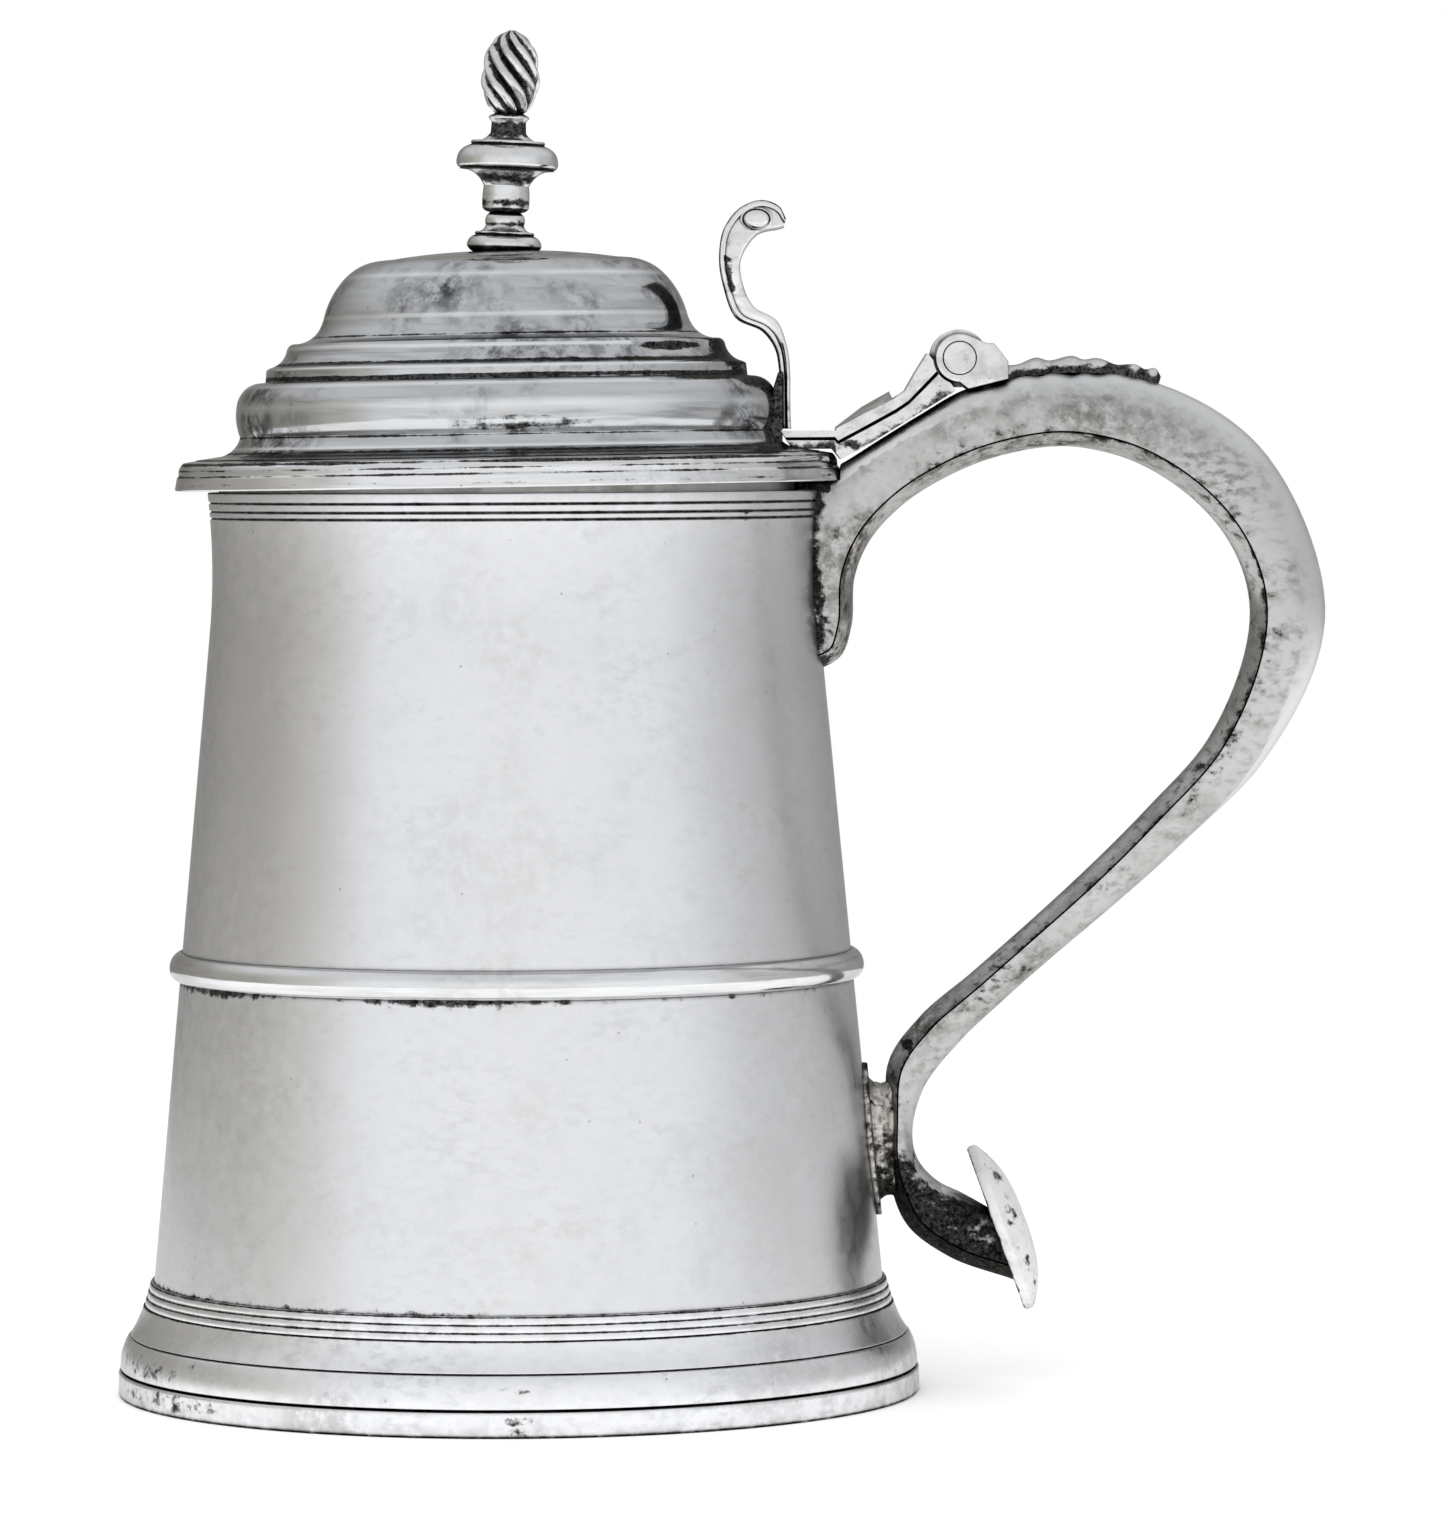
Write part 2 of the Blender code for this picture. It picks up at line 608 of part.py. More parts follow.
def make_terminal(body, rows):
    """Domed oval button on the tail's end face."""
    outer, inner = Vector(rows[-1][0:2]), Vector(rows[-1][2:4])
    along = (inner - outer).normalized()
    centre = (outer + inner) / 2 - along * TERMINAL_RISE
    facing = Vector((-along.y, along.x))
    crown = TERMINAL_RIM + TERMINAL_DOME
    outline = [(0.0, crown)]
    for step in range(1, 2 * ARC_STEPS + 1):
        share = step / (2 * ARC_STEPS)
        outline.append((TERMINAL_RADIUS * share, crown - TERMINAL_DOME * share**2))
    outline += [(TERMINAL_RADIUS, 0.0), (0.0, 0.0)]
    bm = turned(outline, 2 * SMALL_STEPS)
    bmesh.ops.scale(bm, vec=(1.0, TERMINAL_WIDTH_RATIO, 1.0), verts=bm.verts)
    turn = math.atan2(facing.x, facing.y)
    bmesh.ops.rotate(bm, verts=bm.verts, cent=(0, 0, 0), matrix=Matrix.Rotation(turn, 3, "Y"))
    seat = centre + facing * SEAM
    bmesh.ops.translate(bm, verts=bm.verts, vec=(seat.x, 0.0, seat.y))
    piece("handle_terminal", bm, body, SATIN)


def pin_outline(grow):
    """Profile of the riveted pin, or of its hole when grown by a gap."""
    end = HINGE_WIDTH / 2 + PIN_PROUD
    head = HINGE_WIDTH / 2 - PIN_HEAD_LENGTH - grow
    return (
        (0.0, end),
        (PIN_HEAD_RADIUS + grow, end),
        (PIN_HEAD_RADIUS + grow, head),
        (PIN_RADIUS + grow, head),
        (PIN_RADIUS + grow, -head),
        (PIN_HEAD_RADIUS + grow, -head),
        (PIN_HEAD_RADIUS + grow, -end),
        (0.0, -end),
    )


def make_bracket(hinge):
    """Fixed leaf: two knuckles on a block, with a slot for the lid's knuckle, and the riveted pin."""
    outline = [(x, hinge_seat(x) + SEAM / 2) for x in (BRACKET_NECK_X, BRACKET_LENGTH)]
    outline.append((BRACKET_LENGTH, BRACKET_END_Z))
    outline += BRACKET_TOP
    lower_angle = 3 * math.pi / 2
    for step in range(SMALL_STEPS // 2 + 1):
        angle = BRACKET_NECK_ANGLE + (lower_angle - BRACKET_NECK_ANGLE) * step * 2 / SMALL_STEPS
        outline.append((FIXED_KNUCKLE_RADIUS * math.cos(angle), FIXED_KNUCKLE_RADIUS * math.sin(angle)))
    bracket = piece("hinge_bracket", prism(outline, HINGE_WIDTH), hinge, BRIGHT)
    slot = cylinder_outline(LID_KNUCKLE_RADIUS + HINGE_PLAY, LID_KNUCKLE_WIDTH + 2 * SEAM)
    combine(bracket, piece("knuckle_slot", round_bar(slot), hinge), "DIFFERENCE")
    combine(bracket, piece("bracket_bore", round_bar(pin_outline(SEAM)), hinge), "DIFFERENCE")
    piece("hinge_pin", round_bar(pin_outline(0.0)), hinge, BRIGHT)


def make_drop(body, rows):
    """Half-round moulded drop that lies along the handle's back."""
    lean = (DROP_ROWS[0][2] + 2 * SEAM) * SEAT_SLOPE_BRACKET
    start = HINGE_X + BRACKET_LENGTH + SEAM + lean
    path = [Vector(row[0:2]) for row in rows]
    first = next(index for index, point in enumerate(path) if point.x > start)
    share = (start - path[first - 1].x) / (path[first].x - path[first - 1].x)
    path = [path[first - 1].lerp(path[first], share)] + path[first:]
    rings = []
    for distance, half_width, height in DROP_ROWS:
        index = 0
        while distance > (path[index + 1] - path[index]).length:
            distance -= (path[index + 1] - path[index]).length
            index += 1
        along = (path[index + 1] - path[index]).normalized()
        foot = path[index] + along * distance
        out = Vector((-along.y, along.x))
        ring = []
        for step in range(ARCH_STEPS // 2 + 1):
            angle = math.pi * step * 2 / ARCH_STEPS
            x, z = foot + out * (2 * SEAM + height * math.sin(angle))
            ring.append((x, half_width * math.cos(angle), z))
        rings.append(ring)
    piece("hinge_drop", loft(rings), body, TARNISHED)


def make_lid(seat):
    """Stepped and domed cover, its moulded rim and the locating ring under it."""
    rows = [(LID_RADIUS - inset, z, bulge) for inset, z, bulge in LID_FLANGE + LID_STEPS]
    rows.append((0.0, LID_HEIGHT, LID_CROWN_BULGE))
    outside = arc_outline(rows, LID_ARC_STEPS)
    corners = [Vector(row[:2]) for row in rows]
    inside = moved_in(corners, LID_WALL)
    inside[-1] = Vector((0.0, LID_HEIGHT - LID_WALL))
    piece("lid_cover", turned(outside[::-1] + inside), seat, SATIN)

    rim = arc_outline([(LID_RADIUS - inset, z, bulge) for inset, z, bulge in RIM_OUTLINE])
    leg = rim[-1].x
    rim_seat = LID_RADIUS - RIM_SEAT_INSET
    rim = rim[::-1] + [(rim_seat, 0.0), (rim_seat, RIM_SEAT_HEIGHT), (leg, RIM_SEAT_HEIGHT)]
    piece("lid_rim", turned(rim), seat, BRIGHT)

    bezel = barrel_radius(BARREL_HEIGHT - BEZEL_DEPTH) - BARREL_WALL - BEZEL_PLAY
    top = LID_FLANGE[1][1] - LID_WALL - 2 * SEAM
    ring = (
        (bezel, top),
        (bezel, -BEZEL_DEPTH),
        (bezel - BEZEL_WALL, -BEZEL_DEPTH),
        (bezel - BEZEL_WALL, top),
    )
    piece("lid_bezel", turned(ring), seat, SATIN)


def tongue_underside():
    """Height, from the hinge axis, of the hinge plate's flat end, which lies on the lid's flange."""
    inset, height, _ = LID_FLANGE[1]
    rise = -lid_x(inset) * math.sin(LID_TILT)
    return height + SEAM - LID_SEAT - rise


def thumb_foot():
    """Foot of the thumbpiece, just clear of the lid's bulge and on top of the hinge plate."""
    bulge_inset, _, bulge = LID_STEPS[1]
    return lid_x(bulge_inset - bulge) + SEAM, tongue_underside() + PLATE_TONGUE + SEAM


def make_hinge_plate(hinge):
    """Moving leaf: a ridged strap from the lid's flange up the handle's back to the middle knuckle."""
    left, _ = thumb_foot()
    low = tongue_underside()
    high = low + PLATE_TONGUE
    clear = lid_x(0.0) + 2 * SEAM
    bend = clear - PLATE_TONGUE / 2
    under_left = lid_x(LID_FLANGE[1][0]) + SEAM
    rows = [((under_left, low), (left, high), 0.0), ((bend, low), (bend, high), 0.0)]
    rows.append(((clear, hinge_seat(clear) + SEAM / 2), (bend, high + SEAM), SEAM))
    rows += [((x, hinge_seat(x) + SEAM / 2), top, ridge) for x, top, ridge in PLATE_ROWS]
    rings = []
    half = HINGE_WIDTH / 2
    for (low_x, low_z), (x, z), ridge in rows:
        ring = [(low_x, -half, low_z), (low_x, half, low_z)]
        for share in (1.0, 0.5, 0.0, -0.5, -1.0):
            ring.append((x, half * share, z + ridge * (1 - share**2)))
        rings.append(ring)
    plate = piece("lid_hinge_plate", loft(rings), hinge, BRIGHT)
    cove = cylinder_outline(FIXED_KNUCKLE_RADIUS + HINGE_PLAY, HINGE_WIDTH + 2 * SEAM)
    combine(plate, piece("knuckle_cove", round_bar(cove), hinge), "DIFFERENCE")
    knuckle = cylinder_outline(LID_KNUCKLE_RADIUS, LID_KNUCKLE_WIDTH)
    combine(plate, piece("lid_knuckle", round_bar(knuckle), hinge), "UNION")
    bore = cylinder_outline(PIN_RADIUS + SEAM, HINGE_WIDTH)
    combine(plate, piece("lid_bore", round_bar(bore), hinge), "DIFFERENCE")


def make_thumbpiece(hinge):
    """Cast scroll with an oval volute on each side of its curled top."""
    foot_x, foot_z = thumb_foot()
    rings = []
    for front_x, front_z, back_x, back_z, width in smooth(THUMB_ROWS, 2):
        front, back = Vector((front_x, front_z)), Vector((back_x, back_z))
        inset = (back - front).normalized() * THUMB_EDGE
        half = width / 2
        narrow = half - THUMB_EDGE
        corners = ((front, narrow), (front + inset, half), (back - inset, half), (back, narrow))
        ring = [(foot_x + p.x, side, foot_z + p.y) for p, side in corners]
        ring += [(foot_x + p.x, -side, foot_z + p.y) for p, side in corners[::-1]]
        rings.append(ring)
    thumb = piece("thumbpiece", loft(rings), hinge, BRIGHT)
    bm = round_bar(cylinder_outline(1.0, VOLUTE_WIDTH))
    half_x, half_z = VOLUTE_HALF_SIZE
    bmesh.ops.scale(bm, vec=(half_x, 1.0, half_z), verts=bm.verts)
    centre = (foot_x + VOLUTE_CENTRE[0], 0.0, foot_z + VOLUTE_CENTRE[1])
    bmesh.ops.translate(bm, verts=bm.verts, vec=centre)
    combine(thumb, piece("volute", bm, hinge), "UNION")


def make_finial(crown):
    """Turned baluster on the crown, and the twisted flame that stands on it."""
    profile = arc_outline(BALUSTER_ROWS)
    outline = [(0.0, profile[-1].y)] + profile[::-1] + [(0.0, profile[0].y)]
    piece("finial_baluster", turned(outline, SMALL_STEPS), crown, SATIN)
    foot = profile[-1].y + SEAM
    points = FLAME_LOBES * FLAME_POINTS_PER_LOBE
    rings = []
    for share, radius in smooth(FLAME_ROWS):
        ring = []
        for step in range(points):
            angle = math.tau * step / points
            lobe = 1 - FLAME_GROOVE * (1 - math.cos(FLAME_LOBES * angle)) / 2
            turn = angle + FLAME_TWIST * share
            ring.append(
                (radius * lobe * math.cos(turn), radius * lobe * math.sin(turn), foot + FLAME_HEIGHT * share)
            )
        rings.append(ring)
    piece("finial_flame", loft(rings), crown, TARNISHED)


def main():
    for old in list(bpy.data.objects):
        bpy.data.objects.remove(old)
    body = pivot("barrel_axis", None, AXIS_X)
    rows = handle_rows()
    make_barrel(body)
    make_barrel_bottom(body)
    make_midband(body)
    make_foot(body)
    make_handle(body, rows)
    make_strut(body, rows)
    make_terminal(body, rows)
    hinge = pivot("hinge_axis", body, HINGE_X, HINGE_Z)
    make_bracket(hinge)
    make_drop(body, rows)
    lid_hinge = pivot("lid_hinge", hinge)
    make_hinge_plate(lid_hinge)
    make_thumbpiece(lid_hinge)
    tilted = pivot("lid_tilt", lid_hinge, turn=-LID_TILT)
    seat = pivot("lid_seat", tilted, -HINGE_X - LID_FORWARD, -LID_SEAT)
    make_lid(seat)
    lean_drop = BALUSTER_ROWS[0][0] * math.sin(FINIAL_LEAN)
    make_finial(pivot("crown", seat, z=LID_HEIGHT + SEAM + lean_drop, turn=FINIAL_LEAN))


main()
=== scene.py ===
"""Look of the lidded silver tankard: finely shaped pieces in worn silver, a white studio and the camera.

Sizes are millimetres and become metres when a mesh is made. Pieces are drawn round the barrel's axis, the
hinge axis or the lid's seat, and set in place from the frame's own boxes and its hinge.
"""

import json
import math
from collections import namedtuple

import bmesh
import bpy
import numpy as np
from mathutils import Matrix, Vector, noise


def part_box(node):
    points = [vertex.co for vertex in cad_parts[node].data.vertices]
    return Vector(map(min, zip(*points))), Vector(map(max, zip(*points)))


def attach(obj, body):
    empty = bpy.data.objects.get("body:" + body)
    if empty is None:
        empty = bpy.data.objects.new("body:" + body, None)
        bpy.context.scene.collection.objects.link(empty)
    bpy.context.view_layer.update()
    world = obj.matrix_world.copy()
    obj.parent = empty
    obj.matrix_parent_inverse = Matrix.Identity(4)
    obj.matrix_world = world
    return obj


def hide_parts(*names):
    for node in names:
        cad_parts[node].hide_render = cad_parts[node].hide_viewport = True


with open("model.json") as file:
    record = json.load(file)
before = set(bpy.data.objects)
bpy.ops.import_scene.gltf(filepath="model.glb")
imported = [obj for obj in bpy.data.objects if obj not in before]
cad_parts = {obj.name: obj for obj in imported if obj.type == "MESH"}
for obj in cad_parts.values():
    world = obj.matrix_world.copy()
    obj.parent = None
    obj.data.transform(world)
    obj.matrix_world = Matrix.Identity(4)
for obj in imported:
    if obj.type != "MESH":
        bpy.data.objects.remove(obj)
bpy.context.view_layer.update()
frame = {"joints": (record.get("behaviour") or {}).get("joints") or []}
MM = 0.001

# Steps round a full turn, round a small piece, along an arc and a curve, across an arch and a strip
STEPS_ROUND = 256
SMALL_STEPS = 96
ARC_STEPS = 10
CURVE_STEPS = 12
ARCH_STEPS = 48
STRIP_STEPS = 16
CORNER_STEPS = 4
WELD = 0.002  # points nearer than this become one
SHARP_ANGLE = math.radians(40)
EASE_ANGLE = math.radians(24)  # corners that turn by less stay as they are
EASE_SHARE = 0.45  # a round takes at most this share of each side of its corner
EMBED = 0.3  # soldered pieces run this far into each other
WAVE_LENGTH = 20.0  # work by hand leaves waves of this length, and of these heights
WALL_WAVES = 0.1
LID_WAVES = 0.08
WIRE_WAVES = 0.04
PATCH_CORE = 3.0  # how much fuller a darkened patch is than one that fades from its middle

# Barrel
LIP_RADIUS = 50.0
NECK_RADIUS = 49.8
FLARE_HEIGHT = 22.8
BARREL_WALL = 0.8
LIP_EASE = 0.3
LIP_LINES = (1.7, 3.1, 4.2)  # incised lines, down from the lip
LIP_LINE_WIDTH = 0.55
LIP_LINE_DEPTH = 0.3
LIP_LINE_SHAPE = ((1, 0.0), (0.4, 0.8), (0, 1.0), (-0.4, 0.8), (-1, 0.0))  # shares of half width and depth
WALL_STEP = 1.5  # between rows of the wall
FINE_STEP = 0.375  # between rows of the foot
FINE_ROWS = 9  # rows of the wall that are as close, just above the foot
FLOOR_HEIGHT = 9.0
FLOOR_WALL = 0.8
FLOOR_SKIRT = 4.0
MIDBAND_Z = 70.0
MIDBAND_HEIGHT = 4.7
MIDBAND_PROUD = 1.9
GIRDLE_BLACK = ((-47.0, 12.0), (-7.0, 18.0))  # x and half width of thick tarnish under its front
# Tarnish on the wall: its reach and how black it is; a pair goes from thin to thick patches
GIRDLE_THIN = 0.1
UNDER_GIRDLE_REACH = (0.7, 3.9)
UNDER_GIRDLE_SOOT = (0.6, 1.0)
OVER_GIRDLE_REACH = 0.9
OVER_GIRDLE_SOOT = 0.6
OVER_FOOT_REACH = 0.8
OVER_FOOT_LEFT_REACH = (0.7, 3.1)
OVER_FOOT_SOOT = 0.62
LIP_SPECK_REACH = 6.2
LIP_SPECKS_PER_MM = 1.5
LIP_SPECK_POWER = 4
LIP_SPECK_SOOT = 1.1
LIP_LINE_SOOT = 1.2

# Foot mouldings, as height above the table and how far they stand proud of the barrel
FOOT_RIM_HEIGHT = 4.1
FOOT_RIM_WIDTH = 5.6
FOOT_EASE = 0.5
FOOT_LINE = 0.35  # width of the lines between its mouldings
TORUS_PROUD = 4.3
TORUS_TOP = 9.6
TORUS_TOP_PROUD = 3.5
TORUS_BULGE = 0.4
CAVETTO_TOP = 14.7
CAVETTO_PROUD = 1.4
CAVETTO_HOLLOW = 0.2
REED_HEIGHT = 3.7
REED_COUNT = 3
REED_BULGE = 0.12
REED_LOWER_PROUD = 1.5
REED_UPPER_PROUD = 0.8
FOOT_TOP = CAVETTO_TOP + REED_HEIGHT
# Darker patches on its front: x and half width, height and half height; the three in the middle are a
# painted reflection of the camera
FOOT_DARK_PATCHES = (
    (-58.6, 7.0, 6.8, 2.6),
    (-54.7, 12.0, 2.4, 2.2),
    (1.5, 4.5, 7.6, 0.9),
    (1.5, 4.5, 2.7, 1.1),
    (1.5, 4.5, 1.0, 1.1),
)
FOOT_PATCH_DARKNESS = 0.44
FOOT_MOTTLE_TOP = 13.3  # the foot is mottled up to this height and lined above it
FOOT_MOTTLE_HEIGHT = 4.0
FOOT_MOTTLE_FROM = 0.3
FOOT_MOTTLE_SOOT = 0.6
REED_LINE_HALF = 0.27  # half width of the black lines between reeds
REED_LINE_SOOT = (0.7, 1.5)

# Hinge, drawn from its axis
HINGE_WIDTH = 17.0
SEAT_SLOPE_PLATE = 0.611
SEAT_SLOPE_BRACKET = 0.247
SEAT_DROP = 5.05
FIXED_KNUCKLE_RADIUS = 3.9
LID_KNUCKLE_RADIUS = 4.7
LID_KNUCKLE_WIDTH = 8.0
HINGE_PLAY = 0.4
SEAM = 0.3
PIN_RADIUS = 1.6
PIN_HEAD_RADIUS = 2.65
PIN_HEAD_LENGTH = 1.0
PIN_PROUD = 0.2
BRACKET_LENGTH = 7.9
BRACKET_END_Z = -0.6
BRACKET_TOP = ((5.6, 2.4), (4.4, 2.4))
BRACKET_NECK_X = 1.4
BRACKET_NECK_ANGLE = math.radians(66)
BROKEN_EDGE = 0.25
PLATE_TONGUE = 2.7
# Hinge plate: x of its under edge, x and z of its top edge, height of its ridge
PLATE_ROWS = (
    (-14.5, (-15.8, -9.1), 1.3),
    (-10.0, (-11.3, -6.9), 1.6),
    (-9.6, (-10.9, -6.7), 0.2),
    (-7.6, (-8.8, -5.2), 0.0),
    (-4.0, (-7.2, -2.4), 0.0),
    (-0.6, (-5.2, 0.8), 0.0),
)
PLATE_GROOVE = 0.6
PLATE_GROOVE_SHARE = 0.55
PLATE_LINE_HALF = 0.1
PLATE_LINE_SOOT = (0.55, 1.05)
PLATE_UNDER_REACH = 0.8
PLATE_UNDER_SOOT = 1.1
TONGUE_RUN = 1.0  # the tongue's mottling runs this far past its bend
TONGUE_MOTTLE = 1.5
TONGUE_SOOT = 0.45

# Thumbpiece: front and back edge as (x, z) from its foot, and its width
THUMB_ROWS = (
    (0.0, 0.0, 1.7, 0.0, 12.0),
    (0.0, 5.1, 1.6, 4.6, 11.0),
    (-0.1, 8.6, 1.6, 9.1, 10.0),
    (-0.9, 13.2, 1.0, 13.8, 9.5),
    (-2.9, 15.9, -0.4, 17.4, 9.5),
    (-7.2, 18.1, -4.2, 19.8, 10.0),
    (-9.2, 23.1, -6.0, 23.4, 11.0),
    (-9.9, 28.1, -6.4, 27.2, 12.0),
    (-8.9, 32.9, -5.0, 30.2, 12.5),
    (-6.1, 36.1, -3.4, 31.8, 12.5),
    (-2.8, 37.1, -1.8, 32.3, 12.5),
    (0.0, 36.0, -0.4, 32.5, 12.0),
    (1.0, 34.1, 0.7, 32.8, 11.5),
)
THUMB_EDGE = 0.5
THUMB_FLUTE = 0.35  # hollow worked into each side of the scroll
THUMB_STEPS = 8
THUMB_BORDER_SHARE = 0.4  # the border in front of the flute takes at most this share of the side
VOLUTE_CENTRE = (-3.8, 34.0)
VOLUTE_HALF_SIZE = (2.6, 1.9)
VOLUTE_WIDTH = 13.4
# Outline of the volute's face: share of its half size, and depth
VOLUTE_FACE = ((0.0, 0.0), (0.55, 0.1), (0.75, 0.3), (0.82, 0.6), (0.9, 0.35), (1.0, 0.5))
SOLDER_RUN = 4.0  # solder that fills the corner between the thumbpiece and the lid
SOLDER_RISE = 9.3
SOLDER_WIDTH = 16.5
THUMB_BLACK = (22.5, 28.0)  # heights between which the groove in its side is black
THUMB_GROOVE = (0.9, 1.6)  # distances from its front edge between which that groove lies
THUMB_GROOVE_SOOT = 0.6
THUMB_FLANK = 3.0  # distance from the middle plane beyond which a point lies on its side
THUMB_FRONT_REACH = 0.45
THUMB_FRONT_SOOT = 0.95
THUMB_FOOT_REACH = 6.0
THUMB_FOOT_SOOT = 0.8
SOLDER_SOOT = 0.85

# Drop along the handle's back: distance from the bracket, half width, height
DROP_ROWS = (
    (0.0, 5.5, 2.0),
    (2.3, 3.4, 1.7),
    (5.2, 4.8, 2.3),
    (7.1, 3.2, 1.6),
    (10.9, 4.4, 2.2),
    (12.6, 3.0, 1.6),
    (14.6, 3.6, 1.9),
    (18.1, 1.6, 1.1),
    (20.8, 2.2, 1.7),
    (22.3, 1.5, 1.3),
    (23.8, 2.0, 1.9),
    (25.1, 0.8, 0.9),
)
DROP_STEPS = 5
DROP_BLACK_HEIGHT = 1.1  # no higher than this it is black all over
DROP_BRIGHT_RISE = 0.8  # this much higher its top is rubbed bright
DROP_BRIGHT = 1.05
DROP_BRIGHT_POWER = 0.6

# Handle; its back stands on a strip that closes it on the finger side
STRIP_DEPTH = 2.2
STRIP_SHARE = 0.3
STRIP_WALL = 0.8
SEAM_LINE = 0.3  # open line between the handle's back and its strip
LIP_TAB = 3.2  # the handle's end reaches this far in over the lip
RIM_PLAY = 0.25
TAB_X = -22.0  # from here to the mouth the handle's top is level
# Rows under the hinge, from its axis: outer edge x, inner edge x and z, width, and how square the back is
HANDLE_ROOT = (
    (-30.0, -26.5, -52.0, 18.0, 7.0),
    (-27.0, -19.2, -48.3, 18.0, 7.0),
    (-24.0, -17.6, -43.7, 18.0, 7.0),
    (-19.5, -17.1, -36.0, 18.0, 7.0),
    (-13.0, -14.5, -29.6, 17.8, 7.0),
    (-6.0, -9.0, -23.7, 17.6, 6.5),
    (1.0, -2.0, -19.3, 17.4, 5.5),
    (8.0, 5.0, -16.4, 17.2, 4.0),
)
# Rows of the bow, from the hinge axis: outer edge x and z, inner edge x and z, width, squareness
HANDLE_BOW = (
    (16.5, -2.2, 15.5, -14.4, 17.0, 2.6),
    (27.4, -2.8, 24.8, -15.6, 16.5, 2.2),
    (49.0, -14.4, 40.7, -25.5, 15.5, 2.0),
    (59.8, -40.7, 47.5, -41.5, 14.5, 2.0),
    (49.7, -66.0, 40.6, -62.3, 13.0, 2.0),
    (36.7, -79.0, 30.9, -73.3, 12.0, 2.0),
)
STRUT_Z = 41.0
# Rows of the tail, the same from where the strut meets the barrel
HANDLE_TAIL = (
    (21.9, 22.5, 16.9, 27.2, 10.5, 2.0),
    (15.0, 16.0, 8.3, 19.9, 10.0, 2.0),
    (9.1, 8.5, 3.0, 12.0, 10.0, 2.0),
    (7.1, 1.3, 3.1, 2.5, 10.0, 2.2),
    (8.1, -3.7, 3.3, -6.8, 10.0, 2.6),
    (11.1, -7.0, 6.1, -14.2, 10.0, 3.4),
    (15.0, -9.0, 12.5, -19.2, 10.0, 4.2),
    (19.4, -11.5, 23.6, -23.3, 10.0, 4.6),
)
BACK_RUB_AND_HIGHLIGHT = 5.0  # depth of the band along its back that is rubbed bright, wear that also stands as a painted highlight
TAIL_EDGE = 0.7  # bright edge left along the tail's back, rubbed and painted as a highlight
TAIL_BLACK = 11.0  # tarnish thickens over this height below the strut
STRIP_JOINT = (0.55, 0.83, 16.5)  # direction and distance, from the strut, of a joint across the strip
# Tarnish on the handle, and painted shade in the specks by the seam: its reach and how black it is; a pair
# goes from smooth to rough patches
SEAM_SOOT_REACH = 0.6
SEAM_SOOT = 0.75
# specks of tarnish along the seam, painted darker towards it as shade too
SEAM_SPECK_AND_SHADE_REACH = 6.0
SEAM_SPECK_AND_SHADE_SOOT = 0.48
ROOT_REACH = (1.6, 4.6)
ROOT_SOOT = (0.5, 1.1)
TAIL_NEAR_WALL_REACH = 11.0
TAIL_NEAR_WALL_SOOT = 0.5
TAIL_NEAR_STRUT_REACH = 14.0
TAIL_NEAR_STRUT_SOOT = 0.5
TAIL_STRIP_MOST = 0.95
TAIL_BACK_MOST = 0.7
TAIL_PATCHES = (0.75, 1.25)
STRIP_JOINT_HALF = 1.0
STRIP_JOINT_SOOT = 1.1
STRUT_HEIGHT = 18.0
STRUT_WIDTH = 7.0
STRUT_LUMPS = 0.5
STRUT_LUMP_SCALE = 0.6
STRUT_LUMP_FRACTAL = (1.0, 2.0, 3)  # dimension, gap between octaves and their count
STRUT_SQUARE = 0.5  # power that squares up its section
STRUT_FLARE = 0.12  # how much wider its ends are than its middle
STRUT_SOOT = (0.36, 0.76)
STRUT_SOOT_BELOW = 0.6
STRUT_PLATE_HEIGHT = 25.0
STRUT_PLATE_WIDTH = 15.0
STRUT_PLATE_WALL = 0.9
STRUT_PLATE_SOOT = (0.3, 0.7)
TERMINAL_RADIUS = 14.2
TERMINAL_WIDTH_RATIO = 0.85
TERMINAL_RIM = 1.5
TERMINAL_DOME = 3.7
TERMINAL_FULLNESS = 2.8
TERMINAL_RISE = 2.6
TERMINAL_WORN = (0.8, 0.3)  # middle and half width of a tarnished ring, as shares of its radius
TERMINAL_SEAT_REACH = 0.5
TERMINAL_SOOT = 0.7

# Lid, measured in from its rim and up from its seat; each row ends an arc of the given bulge
LID_RADIUS = 54.4
LID_WALL = 0.8
LID_HEIGHT = 38.2
LID_FORWARD = 1.2
LID_TILT = math.radians(0.7)
LID_EASE = 0.35
LID_FLANGE = ((3.5, 4.9, 0.0), (7.8, 5.5, 0.0))
LID_STEPS = (
    (10.8, 8.5, -0.55),
    (10.5, 14.4, 0.45),
    (15.1, 17.3, 1.0),
    (15.3, 19.4, 0.0),
    (15.9, 19.7, 0.0),
    (18.7, 22.6, -0.6),
    (19.5, 23.5, 0.15),
    (24.7, 27.4, -1.2),
    (28.0, 33.8, 0.45),
    (35.2, 36.9, 0.9),
)
LID_CROWN_BULGE = 0.45
LID_ROW = 0.4  # rows of the sheet are no further apart
LID_LINE_PATCHES = (0.55, 1.25)
FLANGE_OPEN = 0.2  # share of tarnish that is left where the flange lies open to a cloth
FLANGE_EDGE = 1.0
# Lines of the lid: height, half width and how black, or how bright where below 0
LID_LINES = (
    (5.1, 0.6, 1.3),
    (5.9, 0.5, 1.0),
    (6.6, 0.5, -1.0),
    (8.4, 0.4, 0.9),
    (13.2, 1.6, -0.7),
    (16.6, 0.5, -1.0),
    (17.75, 0.6, 1.5),
    (19.4, 0.4, -1.2),
    (20.1, 0.6, 1.2),
    (22.7, 0.5, -1.2),
    (24.5, 0.4, 0.9),
    (27.6, 0.6, -1.0),
    (34.2, 0.8, -0.8),
)
